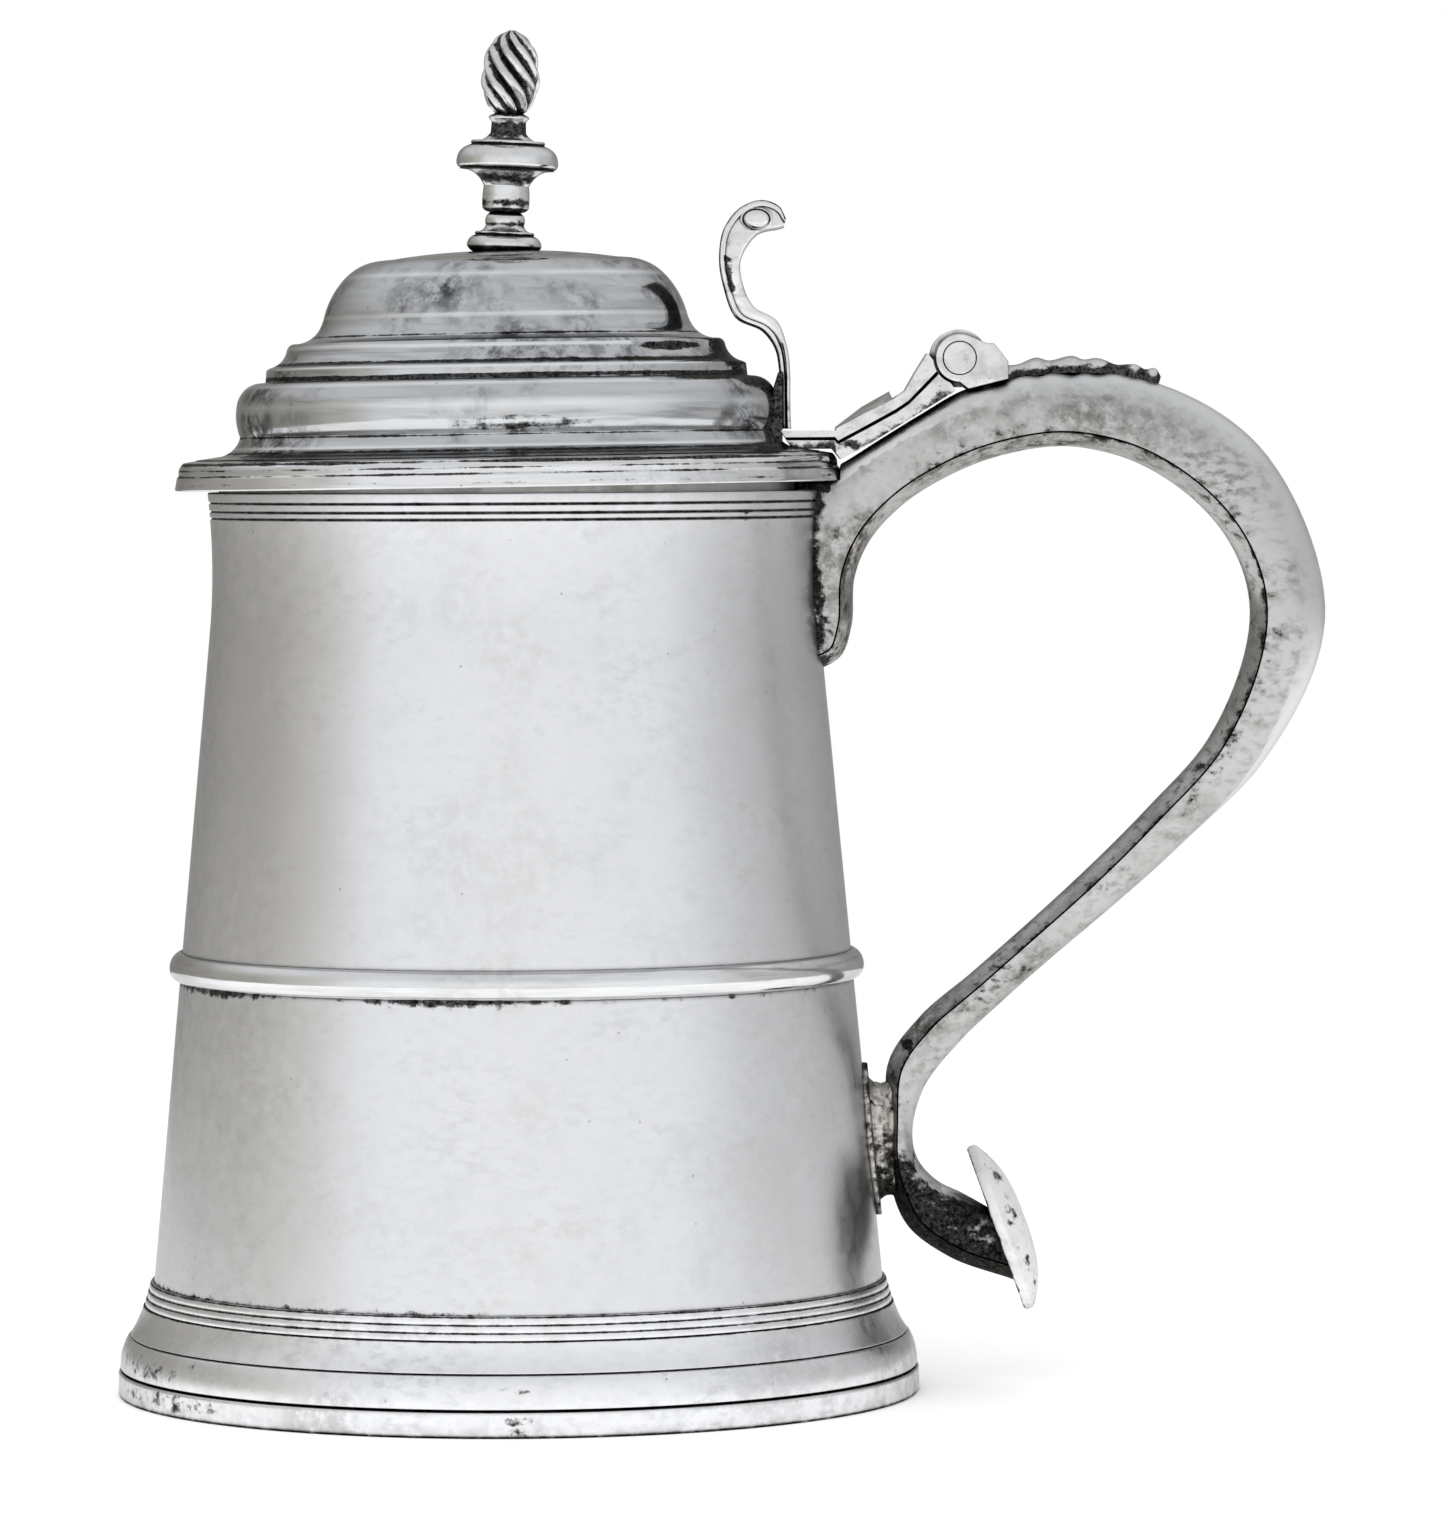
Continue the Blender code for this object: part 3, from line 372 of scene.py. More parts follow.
# Darkened patches of the lid: x and half width, height and half height, how black; the second to the fourth,
# beside the thumbpiece, are painted reflections of it
LID_DARK_PATCHES = (
    (3.0, 15.0, 10.1, 2.0, 0.5),
    (27.0, 6.0, 22.2, 1.0, 0.8),
    (37.0, 5.0, 21.8, 4.0, 0.8),
    (33.0, 9.0, 17.3, 0.9, 0.9),
    (40.5, 4.5, 17.2, 2.6, 0.7),
)
# Rim: outline as inset, height and bulge, and its lines, written as the lid's are
RIM_OUTLINE = ((0.0, 0.0, 0.0), (0.4, 2.1, 0.0), (0.7, 2.4, 0.0), (1.5, 4.5, 0.3), (3.6, 4.85, 0.0))
RIM_LINES = ((2.25, 0.4, 1.4), (3.2, 0.35, 1.3), (4.2, 0.45, 2.0), (0.9, 0.8, 0.8))
RIM_SEAT_INSET = 5.8
RIM_SEAT_HEIGHT = 1.3
BEZEL_DEPTH = 4.0
BEZEL_WALL = 1.2
BEZEL_PLAY = 1.6

# Finial, measured up from the crown: (radius, height, bulge) rows
FINIAL_LEAN = math.radians(3.2)
FINIAL_SUNK = 0.4
FINIAL_SHIFT = (-0.1, LID_HEIGHT - FINIAL_SUNK)
FINIAL_EASE = 0.2
FINIAL_ROW = 0.25
BALUSTER_ROWS = (
    (3.6, 0.0, 0.0),
    (6.1, 1.2, 0.5),
    (4.9, 2.9, 0.35),
    (4.7, 2.95, 0.0),
    (4.7, 3.5, 0.15),
    (3.1, 4.6, -0.35),
    (3.0, 6.2, 0.2),
    (2.5, 6.7, 0.0),
    (3.8, 7.4, 0.2),
    (3.7, 11.0, 0.1),
    (7.8, 13.6, -0.8),
    (7.6, 13.75, 0.0),
    (8.3, 14.8, 0.25),
    (6.3, 17.5, 0.6),
    (5.9, 17.7, 0.0),
    (5.9, 18.3, 0.15),
    (2.9, 19.6, -0.5),
    (2.8, 21.4, 0.0),
    (3.1, 21.8, 0.0),
    (3.1, 22.4, 0.2),
    (2.5, 22.7, 0.0),
)
# Blackened lines of the baluster: height, half width and how black
FINIAL_LINES = (
    (-0.2, 0.5, 1.2),
    (0.9, 0.35, 1.1),
    (2.95, 0.5, 1.4),
    (4.7, 1.0, 0.8),
    (6.8, 0.9, 1.4),
    (8.2, 1.6, 0.75),
    (12.2, 2.2, 0.85),
    (13.75, 0.5, 1.4),
    (17.65, 0.5, 1.4),
    (20.2, 2.6, 1.1),
    (22.7, 0.8, 1.3),
)
FINIAL_PATCHES = (0.7, 1.2)
FLAME_HEIGHT = 13.6
FLAME_ROWS = ((0.0, 2.4), (0.15, 3.9), (0.4, 4.8), (0.65, 4.4), (0.86, 3.1), (1.0, 0.6))
FLAME_LOBES = 8
FLAME_GROOVE = 0.24
FLAME_TWIST = math.radians(-165)
FLAME_LOBE_POWER = 1.3
FLAME_SOOT = 1.15

# Studio, in metres and degrees
TABLE_HALF = 0.7
TABLE_GLOW = 0.2
TENT_RADIUS = 1.1
TENT_HEIGHT = 0.1
# The tent's cloth once round, from in front by way of the handle's opposite side, behind and back
AROUND = (
    (0.0, "#ffffff"),
    (0.13, "#fbfcff"),
    (0.2, "#cbc8c2"),
    (0.27, "#a9a6a0"),
    (0.42, "#a09e9a"),
    (0.62, "#b2b2b2"),
    (0.75, "#c8c8c8"),
    (0.86, "#f8f9fb"),
    (1.0, "#ffffff"),
)
OVERHEAD = "#e2e3e5"
OVERHEAD_FROM = (0.2, 0.75)  # heights, as sines, between which the cloth changes to that
LAMP_PLACE = (-0.5, -1.3, 1.1)
LAMP_AIM = (0.0, 0.0, 0.1)
LAMP_SIZE = 0.9
LAMP_WATTS = 6.0
WORLD_AS_LAMP = 0.95
CAMERA_PLACE = (0.0006, -1.30, 0.1555)
CAMERA_DOWN = 2.34
CAMERA_ROLL = -0.257
LENS = 197.9
SENSOR_WIDTH = 36.0

# Places read from the frame
barrel_low, barrel_high = (Vector(corner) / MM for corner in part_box("barrel"))
foot_low, foot_high = (Vector(corner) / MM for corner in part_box("foot_rim"))
AXIS_X = (barrel_low.x + barrel_high.x) / 2
LIP_Z = barrel_high.z
WALL_FOOT_Z = barrel_low.z
WALL_FOOT_RADIUS = (barrel_high.x - barrel_low.x) / 2
FOOT_RADIUS = (foot_high.x - foot_low.x) / 2
HINGE = Vector(frame["joints"][0]["pos_m"]) / MM
HINGE_X = HINGE.x - AXIS_X
HINGE_Z = HINGE.z
LID_SEAT = (HINGE_Z - LIP_Z - SEAM - (LIP_RADIUS + HINGE_X) * math.sin(LID_TILT)) / math.cos(LID_TILT)


def placed(x=0.0, z=0.0):
    """A shift in millimetres, as a matrix for meshes in metres."""
    return Matrix.Translation((x * MM, 0.0, z * MM))


ON_BARREL = placed(AXIS_X)
ON_HINGE = placed(HINGE.x, HINGE.z)
ON_LID = ON_HINGE @ Matrix.Rotation(-LID_TILT, 4, "Y") @ placed(-HINGE_X - LID_FORWARD, -LID_SEAT)
ON_CROWN = ON_LID @ placed(*FINIAL_SHIFT) @ Matrix.Rotation(FINIAL_LEAN, 4, "Y")
ALONG_PIN = Matrix.Rotation(math.pi / 2, 4, "X")


# Nodes and materials

WHITE = "#ffffff"
SULPHIDE = "#14120e"  # black tarnish
EDGE_TINT = "#d2d1cf"  # silver under its film greys where it is seen along the surface
TURNED = (0.06, 0.06, 1.0)  # polishing marks run round the axis
FREE = (0.35, 0.35, 0.6)  # polishing marks run every way
# Patterns: size in millimetres, detail and roughness; real grain and strokes are finer than would show
CLOUDS = (24.0, 4.0, 0.6)
MOTTLE = (2.6, 8.0, 0.75)
GRAIN = (0.6, 3.0, 0.7)
STROKES = (0.9, 4.0, 0.6)
BANDS = (6.0, 6.0, 0.7)
# Levels of a pattern between which what it gives grows from none to full
CLOUDED = (0.44, 0.66)
SPOTTED = (0.36, 0.6)
STROKED = (0.42, 0.66)
CRUSTED = (0.4, 0.66)
CRUMBLED = (0.35, 0.65)
HAZED = (0.3, 0.7)
STROKE_LEAST = 0.25  # share of the streaks that is everywhere
# Where tarnish gathers by itself, and in hollows painted shade too: reach, sky seen where clear and where
# shut, mottle levels, least and most
GAPS = (1.3, 0.86, 0.5, 0.28, 0.5, 0.55, 1.0)
HOLLOWS_TARNISH_AND_SHADE = (5.0, 0.7, 0.25, 0.36, 0.62, 0.15, 1.0)
OCCLUSION_SAMPLES = 8
# Tarnish, painted shade and painted reflections written on the piece: what mottling and strokes add to it,
# what is taken off, and what crumbs leave of it
SOOT_MOTTLE = 1.2
SOOT_STROKES = 0.8
SOOT_LESS = 1.0
CRUMB_LEAST = 0.86
PIT_SPACING = 4.0
PIT_EDGE = (0.07, 0.03)  # as shares of the spacing
PIT_CHANCE = (0.74, 0.8)
FILM_ROUGH = 0.15
SOOT_ROUGH = 0.35
GRAIN_RELIEF = 0.002


def linear(code):
    """A colour written as sRGB hex, turned linear."""
    shares = [int(code[start : start + 2], 16) / 255 for start in (1, 3, 5)]
    return (*[v / 12.92 if v <= 0.04045 else ((v + 0.055) / 1.055) ** 2.4 for v in shares], 1.0)


def per(size):
    """Texture scale that gives a pattern this many millimetres across."""
    return 1 / (size * MM)


MATH, RANGE, NOISE, MIX = "ShaderNodeMath", "ShaderNodeMapRange", "ShaderNodeTexNoise", "ShaderNodeMix"
TIMES, PLUS, MINUS, LARGER, RATIO = (
    {"operation": word} for word in ("MULTIPLY", "ADD", "SUBTRACT", "MAXIMUM", "DIVIDE")
)
SOFT = {"interpolation_type": "SMOOTHSTEP"}
FACTOR, FIRST, SECOND, MIXED = 0, 6, 7, 2  # sockets of a Mix node that mixes colours


def add(tree, kind, inputs=(), **settings):
    """Add a node; its inputs are values, sockets, or nodes whose first output feeds it."""
    node = tree.nodes.new(kind)
    for name, value in settings.items():
        setattr(node, name, value)
    for name, value in inputs.items() if isinstance(inputs, dict) else enumerate(inputs):
        if isinstance(value, bpy.types.Node):
            value = value.outputs[0]
        if isinstance(value, bpy.types.NodeSocket):
            tree.links.new(value, node.inputs[name])
        else:
            node.inputs[name].default_value = value
    return node


def worn_silver(
    name, bright, dull, polish, haze=0.1, veil=0.0, film=0.5, streak=0.5,
    groove=0.006, pits=0.5, along=FREE, deep=1.0,
):
    """Silver that is bright where it is rubbed, filmed by handling and black where no cloth reaches, with
    painted shade, reflections and highlights written into its black and its rubbed parts.

    Polish is its least roughness and haze what patches add. Veil, film and streak are how dull it is all
    over, in clouds and in strokes. Groove is the depth in millimetres of the polishing marks and along the
    way they run. Pits and deep are how black the pits and the hollows are; the black in hollows is tarnish
    and painted shade.
    """
    material = bpy.data.materials.new(name)
    material.use_nodes = True
    tree = material.node_tree
    shader = tree.nodes["Principled BSDF"]
    place = add(tree, "ShaderNodeTexCoord").outputs["Object"]
    brushed = add(tree, "ShaderNodeMapping", {"Vector": place, "Scale": along})
    patterns = ((place, CLOUDS), (place, MOTTLE), (place, GRAIN), (brushed, STROKES), (brushed, BANDS))
    clouds, mottle, grain, strokes, bands = (
        add(tree, NOISE, {"Vector": way, "Scale": per(size), "Detail": detail, "Roughness": rough})
        for way, (size, detail, rough) in patterns
    )
    tarnish_and_painted_light = add(tree, "ShaderNodeAttribute", attribute_name="tarnish_and_painted_light").outputs["Fac"]

    # Film: cloudy where hands touch, in strokes where a cloth ran, an even veil, and none on rubbed edges,
    # which in places are painted highlights
    touched = add(tree, RANGE, (clouds, *CLOUDED, 0.0, film), **SOFT)
    touched = add(tree, MATH, (touched, add(tree, RANGE, (mottle, *SPOTTED), **SOFT)), **TIMES)
    wiped = add(tree, RANGE, (bands, *STROKED, STROKE_LEAST * streak, streak), **SOFT)
    wiped = add(tree, MATH, (wiped, add(tree, RANGE, (strokes, *STROKED), **SOFT)), **TIMES)
    uneven = add(tree, MATH, (touched, wiped), **LARGER)
    filmed = add(tree, MATH, (uneven, veil), **PLUS, use_clamp=True)
    filmed = add(tree, MATH, (filmed, add(tree, RANGE, (tarnish_and_painted_light, -1.0, 0.0), **SOFT)), **TIMES)

    # Black: tarnish in narrow gaps, tarnish and painted shade in hollows, the tarnish, painted shade and
    # painted reflections written on the piece, and a few pits
    black = 0.0
    for (reach, clear, shut, low, high, least, most), full in ((GAPS, 1.0), (HOLLOWS_TARNISH_AND_SHADE, deep)):
        sky = add(tree, "ShaderNodeAmbientOcclusion", {"Distance": reach * MM}, samples=OCCLUSION_SAMPLES)
        closed = add(tree, RANGE, (sky.outputs["AO"], clear, shut), **SOFT)
        ragged = add(tree, RANGE, (mottle, low, high, least * full, most * full), **SOFT)
        black = add(tree, MATH, (black, add(tree, MATH, (closed, ragged), **TIMES)), **LARGER)
    mottled = add(tree, MATH, (mottle, SOOT_MOTTLE), **TIMES)
    stroked = add(tree, MATH, (strokes, SOOT_STROKES), **TIMES)
    broken = add(tree, MATH, (mottled, stroked), **PLUS)
    crust = add(tree, MATH, (add(tree, MATH, (tarnish_and_painted_light, broken), **PLUS), SOOT_LESS), **MINUS)
    crust = add(tree, RANGE, (crust, *CRUSTED), **SOFT)
    crumbs = add(tree, RANGE, (grain, *CRUMBLED, 1.0, CRUMB_LEAST), **SOFT)
    black = add(tree, MATH, (black, add(tree, MATH, (crust, crumbs), **TIMES)), **LARGER)
    cells = add(tree, "ShaderNodeTexVoronoi", {"Vector": place, "Scale": per(PIT_SPACING)})
    dot = add(tree, RANGE, (cells, *PIT_EDGE, 0.0, pits), **SOFT)
    chance = add(tree, "ShaderNodeSeparateColor", (cells.outputs["Color"],))
    pit = add(tree, MATH, (dot, add(tree, RANGE, (chance, *PIT_CHANCE), **SOFT)), **TIMES)
    black = add(tree, MATH, (black, pit), **LARGER)

    colour = linear(bright)
    for share, over in ((filmed, dull), (black, SULPHIDE)):
        mix = add(tree, MIX, {FACTOR: share, FIRST: colour, SECOND: linear(over)}, data_type="RGBA")
        colour = mix.outputs[MIXED]
    tree.links.new(colour, shader.inputs["Base Color"])
    rough = add(tree, RANGE, (mottle, *HAZED, polish, polish + haze), **SOFT)
    for share, more in ((uneven, FILM_ROUGH), (black, SOOT_ROUGH)):
        rough = add(tree, MATH, (rough, add(tree, MATH, (share, more), **TIMES)), **PLUS)
    tree.links.new(rough.outputs[0], shader.inputs["Roughness"])
    shader.inputs["Metallic"].default_value = 1.0
    shader.inputs["Specular Tint"].default_value = linear(EDGE_TINT)
    grooved = add(tree, MATH, (strokes, groove), **TIMES)
    height = add(tree, MATH, (grooved, add(tree, MATH, (grain, GRAIN_RELIEF), **TIMES)), **PLUS)
    bump = add(tree, "ShaderNodeBump", {"Height": height, "Strength": 1.0, "Distance": MM})
    tree.links.new(bump.outputs["Normal"], shader.inputs["Normal"])
    return material


# The wall: an even satin with faint wiping marks, so its highlight is one broad soft band
PLANISHED = worn_silver(
    "raised silver sheet, planished and wiped", "#e4e5e7", "#a3a097",
    polish=0.26, film=0.2, streak=0.2, groove=0.002, pits=0.4, deep=0.0,
)
# The lid: a grey veil over a near mirror, broken into faint level streaks, with edges rubbed bright
SPUN = worn_silver(
    "lid sheet, raised and burnished", "#eceef0", "#4f5054",
    polish=0.06, haze=0.08, veil=0.3, film=0.75, streak=0.3, groove=0.008, along=TURNED,
)
# Girdle and lid rim: bright bands with blackened lines between them
DRAWN = worn_silver(
    "drawn silver wire, burnished", "#eaebec", "#8a8885",
    polish=0.08, haze=0.07, film=0.3, groove=0.012, along=TURNED,
)
# Foot: rubbed grey by tables, so its bands are soft and pale
WORN = worn_silver(
    "drawn silver wire, worn grey", "#f4f5f7", "#94928e",
    polish=0.24, haze=0.12, film=0.4, streak=0.3,
)
# Handle: a satin that is greyer and cloudy where hands have held it
HANDLED = worn_silver(
    "seamed silver sheet, dulled by handling", "#e4e5e5", "#7b7873",
    polish=0.34, veil=0.36, film=0.55,
)
# Strip on the finger side: duller than the back from fingers, and its silver painted darker as shade, for it
# faces the barrel
FINGERED_AND_SHADED = worn_silver(
    "silver strip, dulled by fingers and painted in shade", "#c6c6c5", "#514d47",
    polish=0.2, veil=0.1, film=1.0, streak=0.6,
)
# Cast pieces: polished high spots over dark hollows
CAST = worn_silver(
    "cast silver, chased and polished", "#e8e9ea", "#858279",
    polish=0.1, haze=0.08, veil=0.06, groove=0.004,
)
# Button on the handle's tail: matt, so it gathers light from all round and stays pale
STRUCK = worn_silver(
    "struck silver button, matt", WHITE, "#8f8c88",
    polish=0.66, film=0.6, streak=0.2, groove=0.004, pits=0.8,
)
# Strut: hardly reached by a cloth, so brown and black with bright crumbs
SOLDERED = worn_silver(
    "soldered silver, blackened", "#d2cfc8", "#57504a",
    polish=0.26, haze=0.15, film=1.0, streak=0.8, groove=0.03, pits=1.0,
)
# Inside faces: dull and even
INSIDE = worn_silver(
    "silver sheet, left from the stake", "#c4c3c0", "#8f8c86",
    polish=0.32, film=0.6, streak=0.3, groove=0.004, pits=0.3, along=TURNED, deep=0.0,
)


# Shapes


def wall_radius(z):
    """Outside radius of the barrel: a straight taper that flares out to the lip."""
    neck_z = LIP_Z - FLARE_HEIGHT
    slope = (NECK_RADIUS - WALL_FOOT_RADIUS) / (neck_z - WALL_FOOT_Z)
    straight = WALL_FOOT_RADIUS + slope * (z - WALL_FOOT_Z)
    spread = LIP_RADIUS - (WALL_FOOT_RADIUS + slope * (LIP_Z - WALL_FOOT_Z))
    return straight + spread * max(0.0, (z - neck_z) / FLARE_HEIGHT) ** 2


def hinge_seat(x):
    """Height, from the hinge axis, of the flattened back under the hinge."""
    return (SEAT_SLOPE_PLATE if x < 0 else SEAT_SLOPE_BRACKET) * x - SEAT_DROP


def lid_x(inset):
    """Distance from the hinge axis to the point of the lid this far inside its rim."""
    return LID_RADIUS - inset - LID_FORWARD - HINGE_X


def arcs(rows):
    """Points of an outline whose rows hold a point and the bulge of the arc that leads to it."""
    points = [Vector(rows[0][:2])]
    for x, y, bulge in rows[1:]:
        start, end = points[-1], Vector((x, y))
        across = (end - start).orthogonal().normalized()
        count = ARC_STEPS if bulge else 1
        for step in range(1, count + 1):
            share = step / count
            points.append(start.lerp(end, share) - across * bulge * 4 * share * (1 - share))
    return points


def eased(points, radius):
    """The outline with each corner broken by a small round."""
    points = [Vector(point) for point in points]
    result = [points[0]]
    for before, corner, after in zip(points, points[1:], points[2:]):
        back, on = before - corner, after - corner
        turn = math.pi - back.angle(on)
        if turn < EASE_ANGLE:
            result.append(corner)
            continue
        cut = min(radius * math.tan(turn / 2), EASE_SHARE * back.length, EASE_SHARE * on.length)
        start, end = corner + back.normalized() * cut, corner + on.normalized() * cut
        for step in range(CORNER_STEPS + 1):
            t = step / CORNER_STEPS
            result.append(start * (1 - t) ** 2 + corner * 2 * t * (1 - t) + end * t**2)
    return result + [points[-1]]


def dense(points, gap):
    """The outline with points added wherever two lie further apart than the gap."""
    result = [points[0]]
    for start, end in zip(points, points[1:]):
        count = math.ceil((end - start).length / gap)
        result += [start.lerp(end, step / count) for step in range(1, count + 1)]
    return result


def smooth(rows, steps=CURVE_STEPS):
    """Rows on a smooth curve through the given rows, with parabolic tangents."""
    rows = np.array(rows, dtype=float)
    spans = np.linalg.norm(np.diff(rows, axis=0), axis=1)[:, None]
    slopes = np.diff(rows, axis=0) / spans
    inner = (slopes[:-1] * spans[1:] + slopes[1:] * spans[:-1]) / (spans[:-1] + spans[1:])
    tangents = np.vstack((slopes[:1], inner, slopes[-1:]))
    result = [rows[0]]
    for index, span in enumerate(spans):
        for step in range(1, steps + 1):
            t = step / steps
            value = (2 * t**3 - 3 * t**2 + 1) * rows[index] + (3 * t**2 - 2 * t**3) * rows[index + 1]
            value += (t**3 - 2 * t**2 + t) * span * tangents[index]
            value += (t**3 - t**2) * span * tangents[index + 1]
            result.append(value)
    return result


def squared(value, power):
    """A sine or cosine raised to a power with its sign kept, which squares up a round."""
    return math.copysign(abs(value) ** power, value)


def lathe_nodes():
    """Geometry Nodes that spin a profile, with optional twisted lobes and the waviness of hand work."""
    tree = bpy.data.node_groups.new("turned piece", "GeometryNodeTree")
    sockets = (
        ("Profile", "NodeSocketGeometry", None),
        ("Steps round", "NodeSocketInt", STEPS_ROUND),
        ("Lobes", "NodeSocketInt", 0),
        ("Lobe depth", "NodeSocketFloat", 0.0),
        ("Twist per metre", "NodeSocketFloat", 0.0),
        ("Wave height", "NodeSocketFloat", 0.0),
        ("Waves per metre", "NodeSocketFloat", per(WAVE_LENGTH)),
        ("Silver", "NodeSocketMaterial", None),
    )
    for label, kind, value in sockets:
        socket = tree.interface.new_socket(label, in_out="INPUT", socket_type=kind)
        if value is not None:
            socket.default_value = value
    tree.interface.new_socket("Piece", in_out="OUTPUT", socket_type="NodeSocketGeometry")
    given = add(tree, "NodeGroupInput").outputs

    # A grid with a row for each point of the profile and a column for each step round
    size = add(tree, "GeometryNodeAttributeDomainSize", {"Geometry": given["Profile"]})
    columns = add(tree, MATH, (given["Steps round"], 1.0), **PLUS)
    counts = {"Vertices X": size.outputs["Point Count"], "Vertices Y": columns}
    grid = add(tree, "GeometryNodeMeshGrid", counts)
    index = add(tree, "GeometryNodeInputIndex")
    row = add(tree, MATH, (add(tree, MATH, (index, columns), **RATIO),), operation="FLOOR")
    column = add(tree, MATH, (index, add(tree, MATH, (row, columns), **TIMES)), **MINUS)
    spot = add(
        tree,
        "GeometryNodeSampleIndex",
        {"Geometry": given["Profile"], "Index": row},
        data_type="FLOAT_VECTOR",
        domain="POINT",
    )
    tree.links.new(add(tree, "GeometryNodeInputPosition").outputs[0], spot.inputs["Value"])
    point = add(tree, "ShaderNodeSeparateXYZ", (spot.outputs["Value"],)).outputs

    # Each point goes round by its column; lobes draw its radius in and a twist turns it on with height
    angle = add(tree, MATH, (add(tree, MATH, (column, given["Steps round"]), **RATIO), math.tau), **TIMES)
    half_turns = add(tree, MATH, (given["Lobes"], 2.0), **RATIO)
    wave = add(tree, MATH, (add(tree, MATH, (angle, half_turns), **TIMES),), operation="SINE")
    crest = add(tree, MATH, (wave,), operation="ABSOLUTE")
    ridge = add(tree, MATH, (crest, FLAME_LOBE_POWER), operation="POWER")
    groove = add(tree, MATH, (given["Lobe depth"], add(tree, MATH, (1.0, ridge), **MINUS)), **TIMES)
    radius = add(tree, MATH, (point["X"], add(tree, MATH, (1.0, groove), **MINUS)), **TIMES)
    twist = add(tree, MATH, (point["Z"], given["Twist per metre"]), **TIMES)
    turn = add(tree, MATH, (angle, twist), **PLUS)
    sides = (add(tree, MATH, (turn,), operation=word) for word in ("COSINE", "SINE"))
    x, y = (add(tree, MATH, (radius, side), **TIMES) for side in sides)
    at = add(tree, "ShaderNodeCombineXYZ", (x, y, point["Z"]))
    spun = add(tree, "GeometryNodeSetPosition", {"Geometry": grid, "Position": at})
    welded = add(tree, "GeometryNodeMergeByDistance", {"Geometry": spun, "Distance": WELD * MM})

    # Waves push the sheet in and out along its normals
    dents = add(tree, NOISE, {"Scale": given["Waves per metre"], "Detail": 1.0})
    lift = add(tree, MATH, (add(tree, MATH, (dents, 0.5), **MINUS), given["Wave height"]), **TIMES)
    normal = add(tree, "GeometryNodeInputNormal")
    push = add(tree, "ShaderNodeVectorMath", {0: normal, "Scale": lift}, operation="SCALE")
    waved = add(tree, "GeometryNodeSetPosition", {"Geometry": welded, "Offset": push})
    whole = add(tree, "GeometryNodeRealizeInstances", {"Geometry": waved})
    silvered = add(tree, "GeometryNodeSetMaterial", {"Geometry": whole, "Material": given["Silver"]})
    add(tree, "NodeGroupOutput", {"Piece": silvered})
    return tree


LATHE = lathe_nodes()
LATHE_SOCKETS = {
    item.name: item.identifier for item in LATHE.interface.items_tree if item.in_out == "INPUT"
}


def plain_mesh(name, mesh, modify):
    """The mesh after modifiers, as plain geometry."""
    holder = bpy.data.objects.new(name, mesh)
    bpy.context.collection.objects.link(holder)
    modify(holder)
    made = bpy.data.meshes.new_from_object(holder.evaluated_get(bpy.context.evaluated_depsgraph_get()))
    bpy.data.objects.remove(holder)
    return made


def turned(name, profile, silver=None, steps=STEPS_ROUND, ring=True, **shape):
    """Spin (radius, height) points on the lathe; a ring's profile is closed on itself."""
    points = [(point[0] * MM, 0.0, point[1] * MM) for point in profile]
    if ring:
        points.append(points[0])
    mesh = bpy.data.meshes.new(name)
    mesh.from_pydata(points, [(index, index + 1) for index in range(len(points) - 1)], [])

    def fit(holder):
        modifier = holder.modifiers.new("lathe", "NODES")
        modifier.node_group = LATHE
        for label, value in {"silver": silver, "steps_round": steps, **shape}.items():
            modifier[LATHE_SOCKETS[label.replace("_", " ").capitalize()]] = value

    return tidy(plain_mesh(name, mesh, fit))


def tidy(mesh):
    """Weld the mesh and turn its faces outward."""
    bm = bmesh.new()
    bm.from_mesh(mesh)
    bmesh.ops.remove_doubles(bm, verts=bm.verts, dist=WELD * MM)
    bmesh.ops.recalc_face_normals(bm, faces=bm.faces)
    bm.to_mesh(mesh)
    bm.free()
    return mesh


def loft(name, rings, edge=0.0):
    """Skin a row of loops in millimetres, close both ends and break sharp edges."""
    bm = bmesh.new()
    loops = [[bm.verts.new(Vector(point) * MM) for point in ring] for ring in rings]
    for near, far in zip(loops, loops[1:]):
        for index, corner in enumerate(near):
            bm.faces.new((near[index - 1], corner, far[index], far[index - 1]))
    bm.faces.new(loops[0])
    bm.faces.new(loops[-1])
    bmesh.ops.recalc_face_normals(bm, faces=bm.faces)
    if edge:
        sharp = [e for e in bm.edges if e.calc_face_angle(0.0) > SHARP_ANGLE]
        bmesh.ops.bevel(bm, geom=sharp, offset=edge * MM, segments=3, affect="EDGES", profile=0.5)
    mesh = bpy.data.meshes.new(name)
    bm.to_mesh(mesh)
    bm.free()
    return tidy(mesh)


def prism(name, outline, width, edge=0.0):
    """An outline of (x, z) points, extruded to both sides of the middle plane."""
    return loft(name, [[(x, side * width / 2, z) for x, z in outline] for side in (-1, 1)], edge)


def combine(mesh, tool, operation):
    """Cut a closed mesh out of another, or join it on."""
    cutter = bpy.data.objects.new("tool", tool)
    bpy.context.collection.objects.link(cutter)

    def fit(holder):
        modifier = holder.modifiers.new("cut", "BOOLEAN")
        modifier.operation = operation
        modifier.solver = "EXACT"
        modifier.object = cutter

    made = plain_mesh(mesh.name, mesh, fit)
    bpy.data.objects.remove(cutter)
    return tidy(made)


def joined(*meshes):
    """Several closed meshes as one piece."""
    bm = bmesh.new()
    for mesh in meshes:
        bm.from_mesh(mesh)
    bm.to_mesh(meshes[0])
    bm.free()
    return meshes[0]


def bar(radius, width):
    """A plain bar along the hinge pin, in millimetres."""
    half = width / 2
    outline = ((0, half), (radius, half), (radius, -half), (0, -half))
    mesh = turned("bar", outline, steps=SMALL_STEPS, ring=False)
    mesh.transform(ALONG_PIN)
    return mesh


# Tarnish, painted light and placing


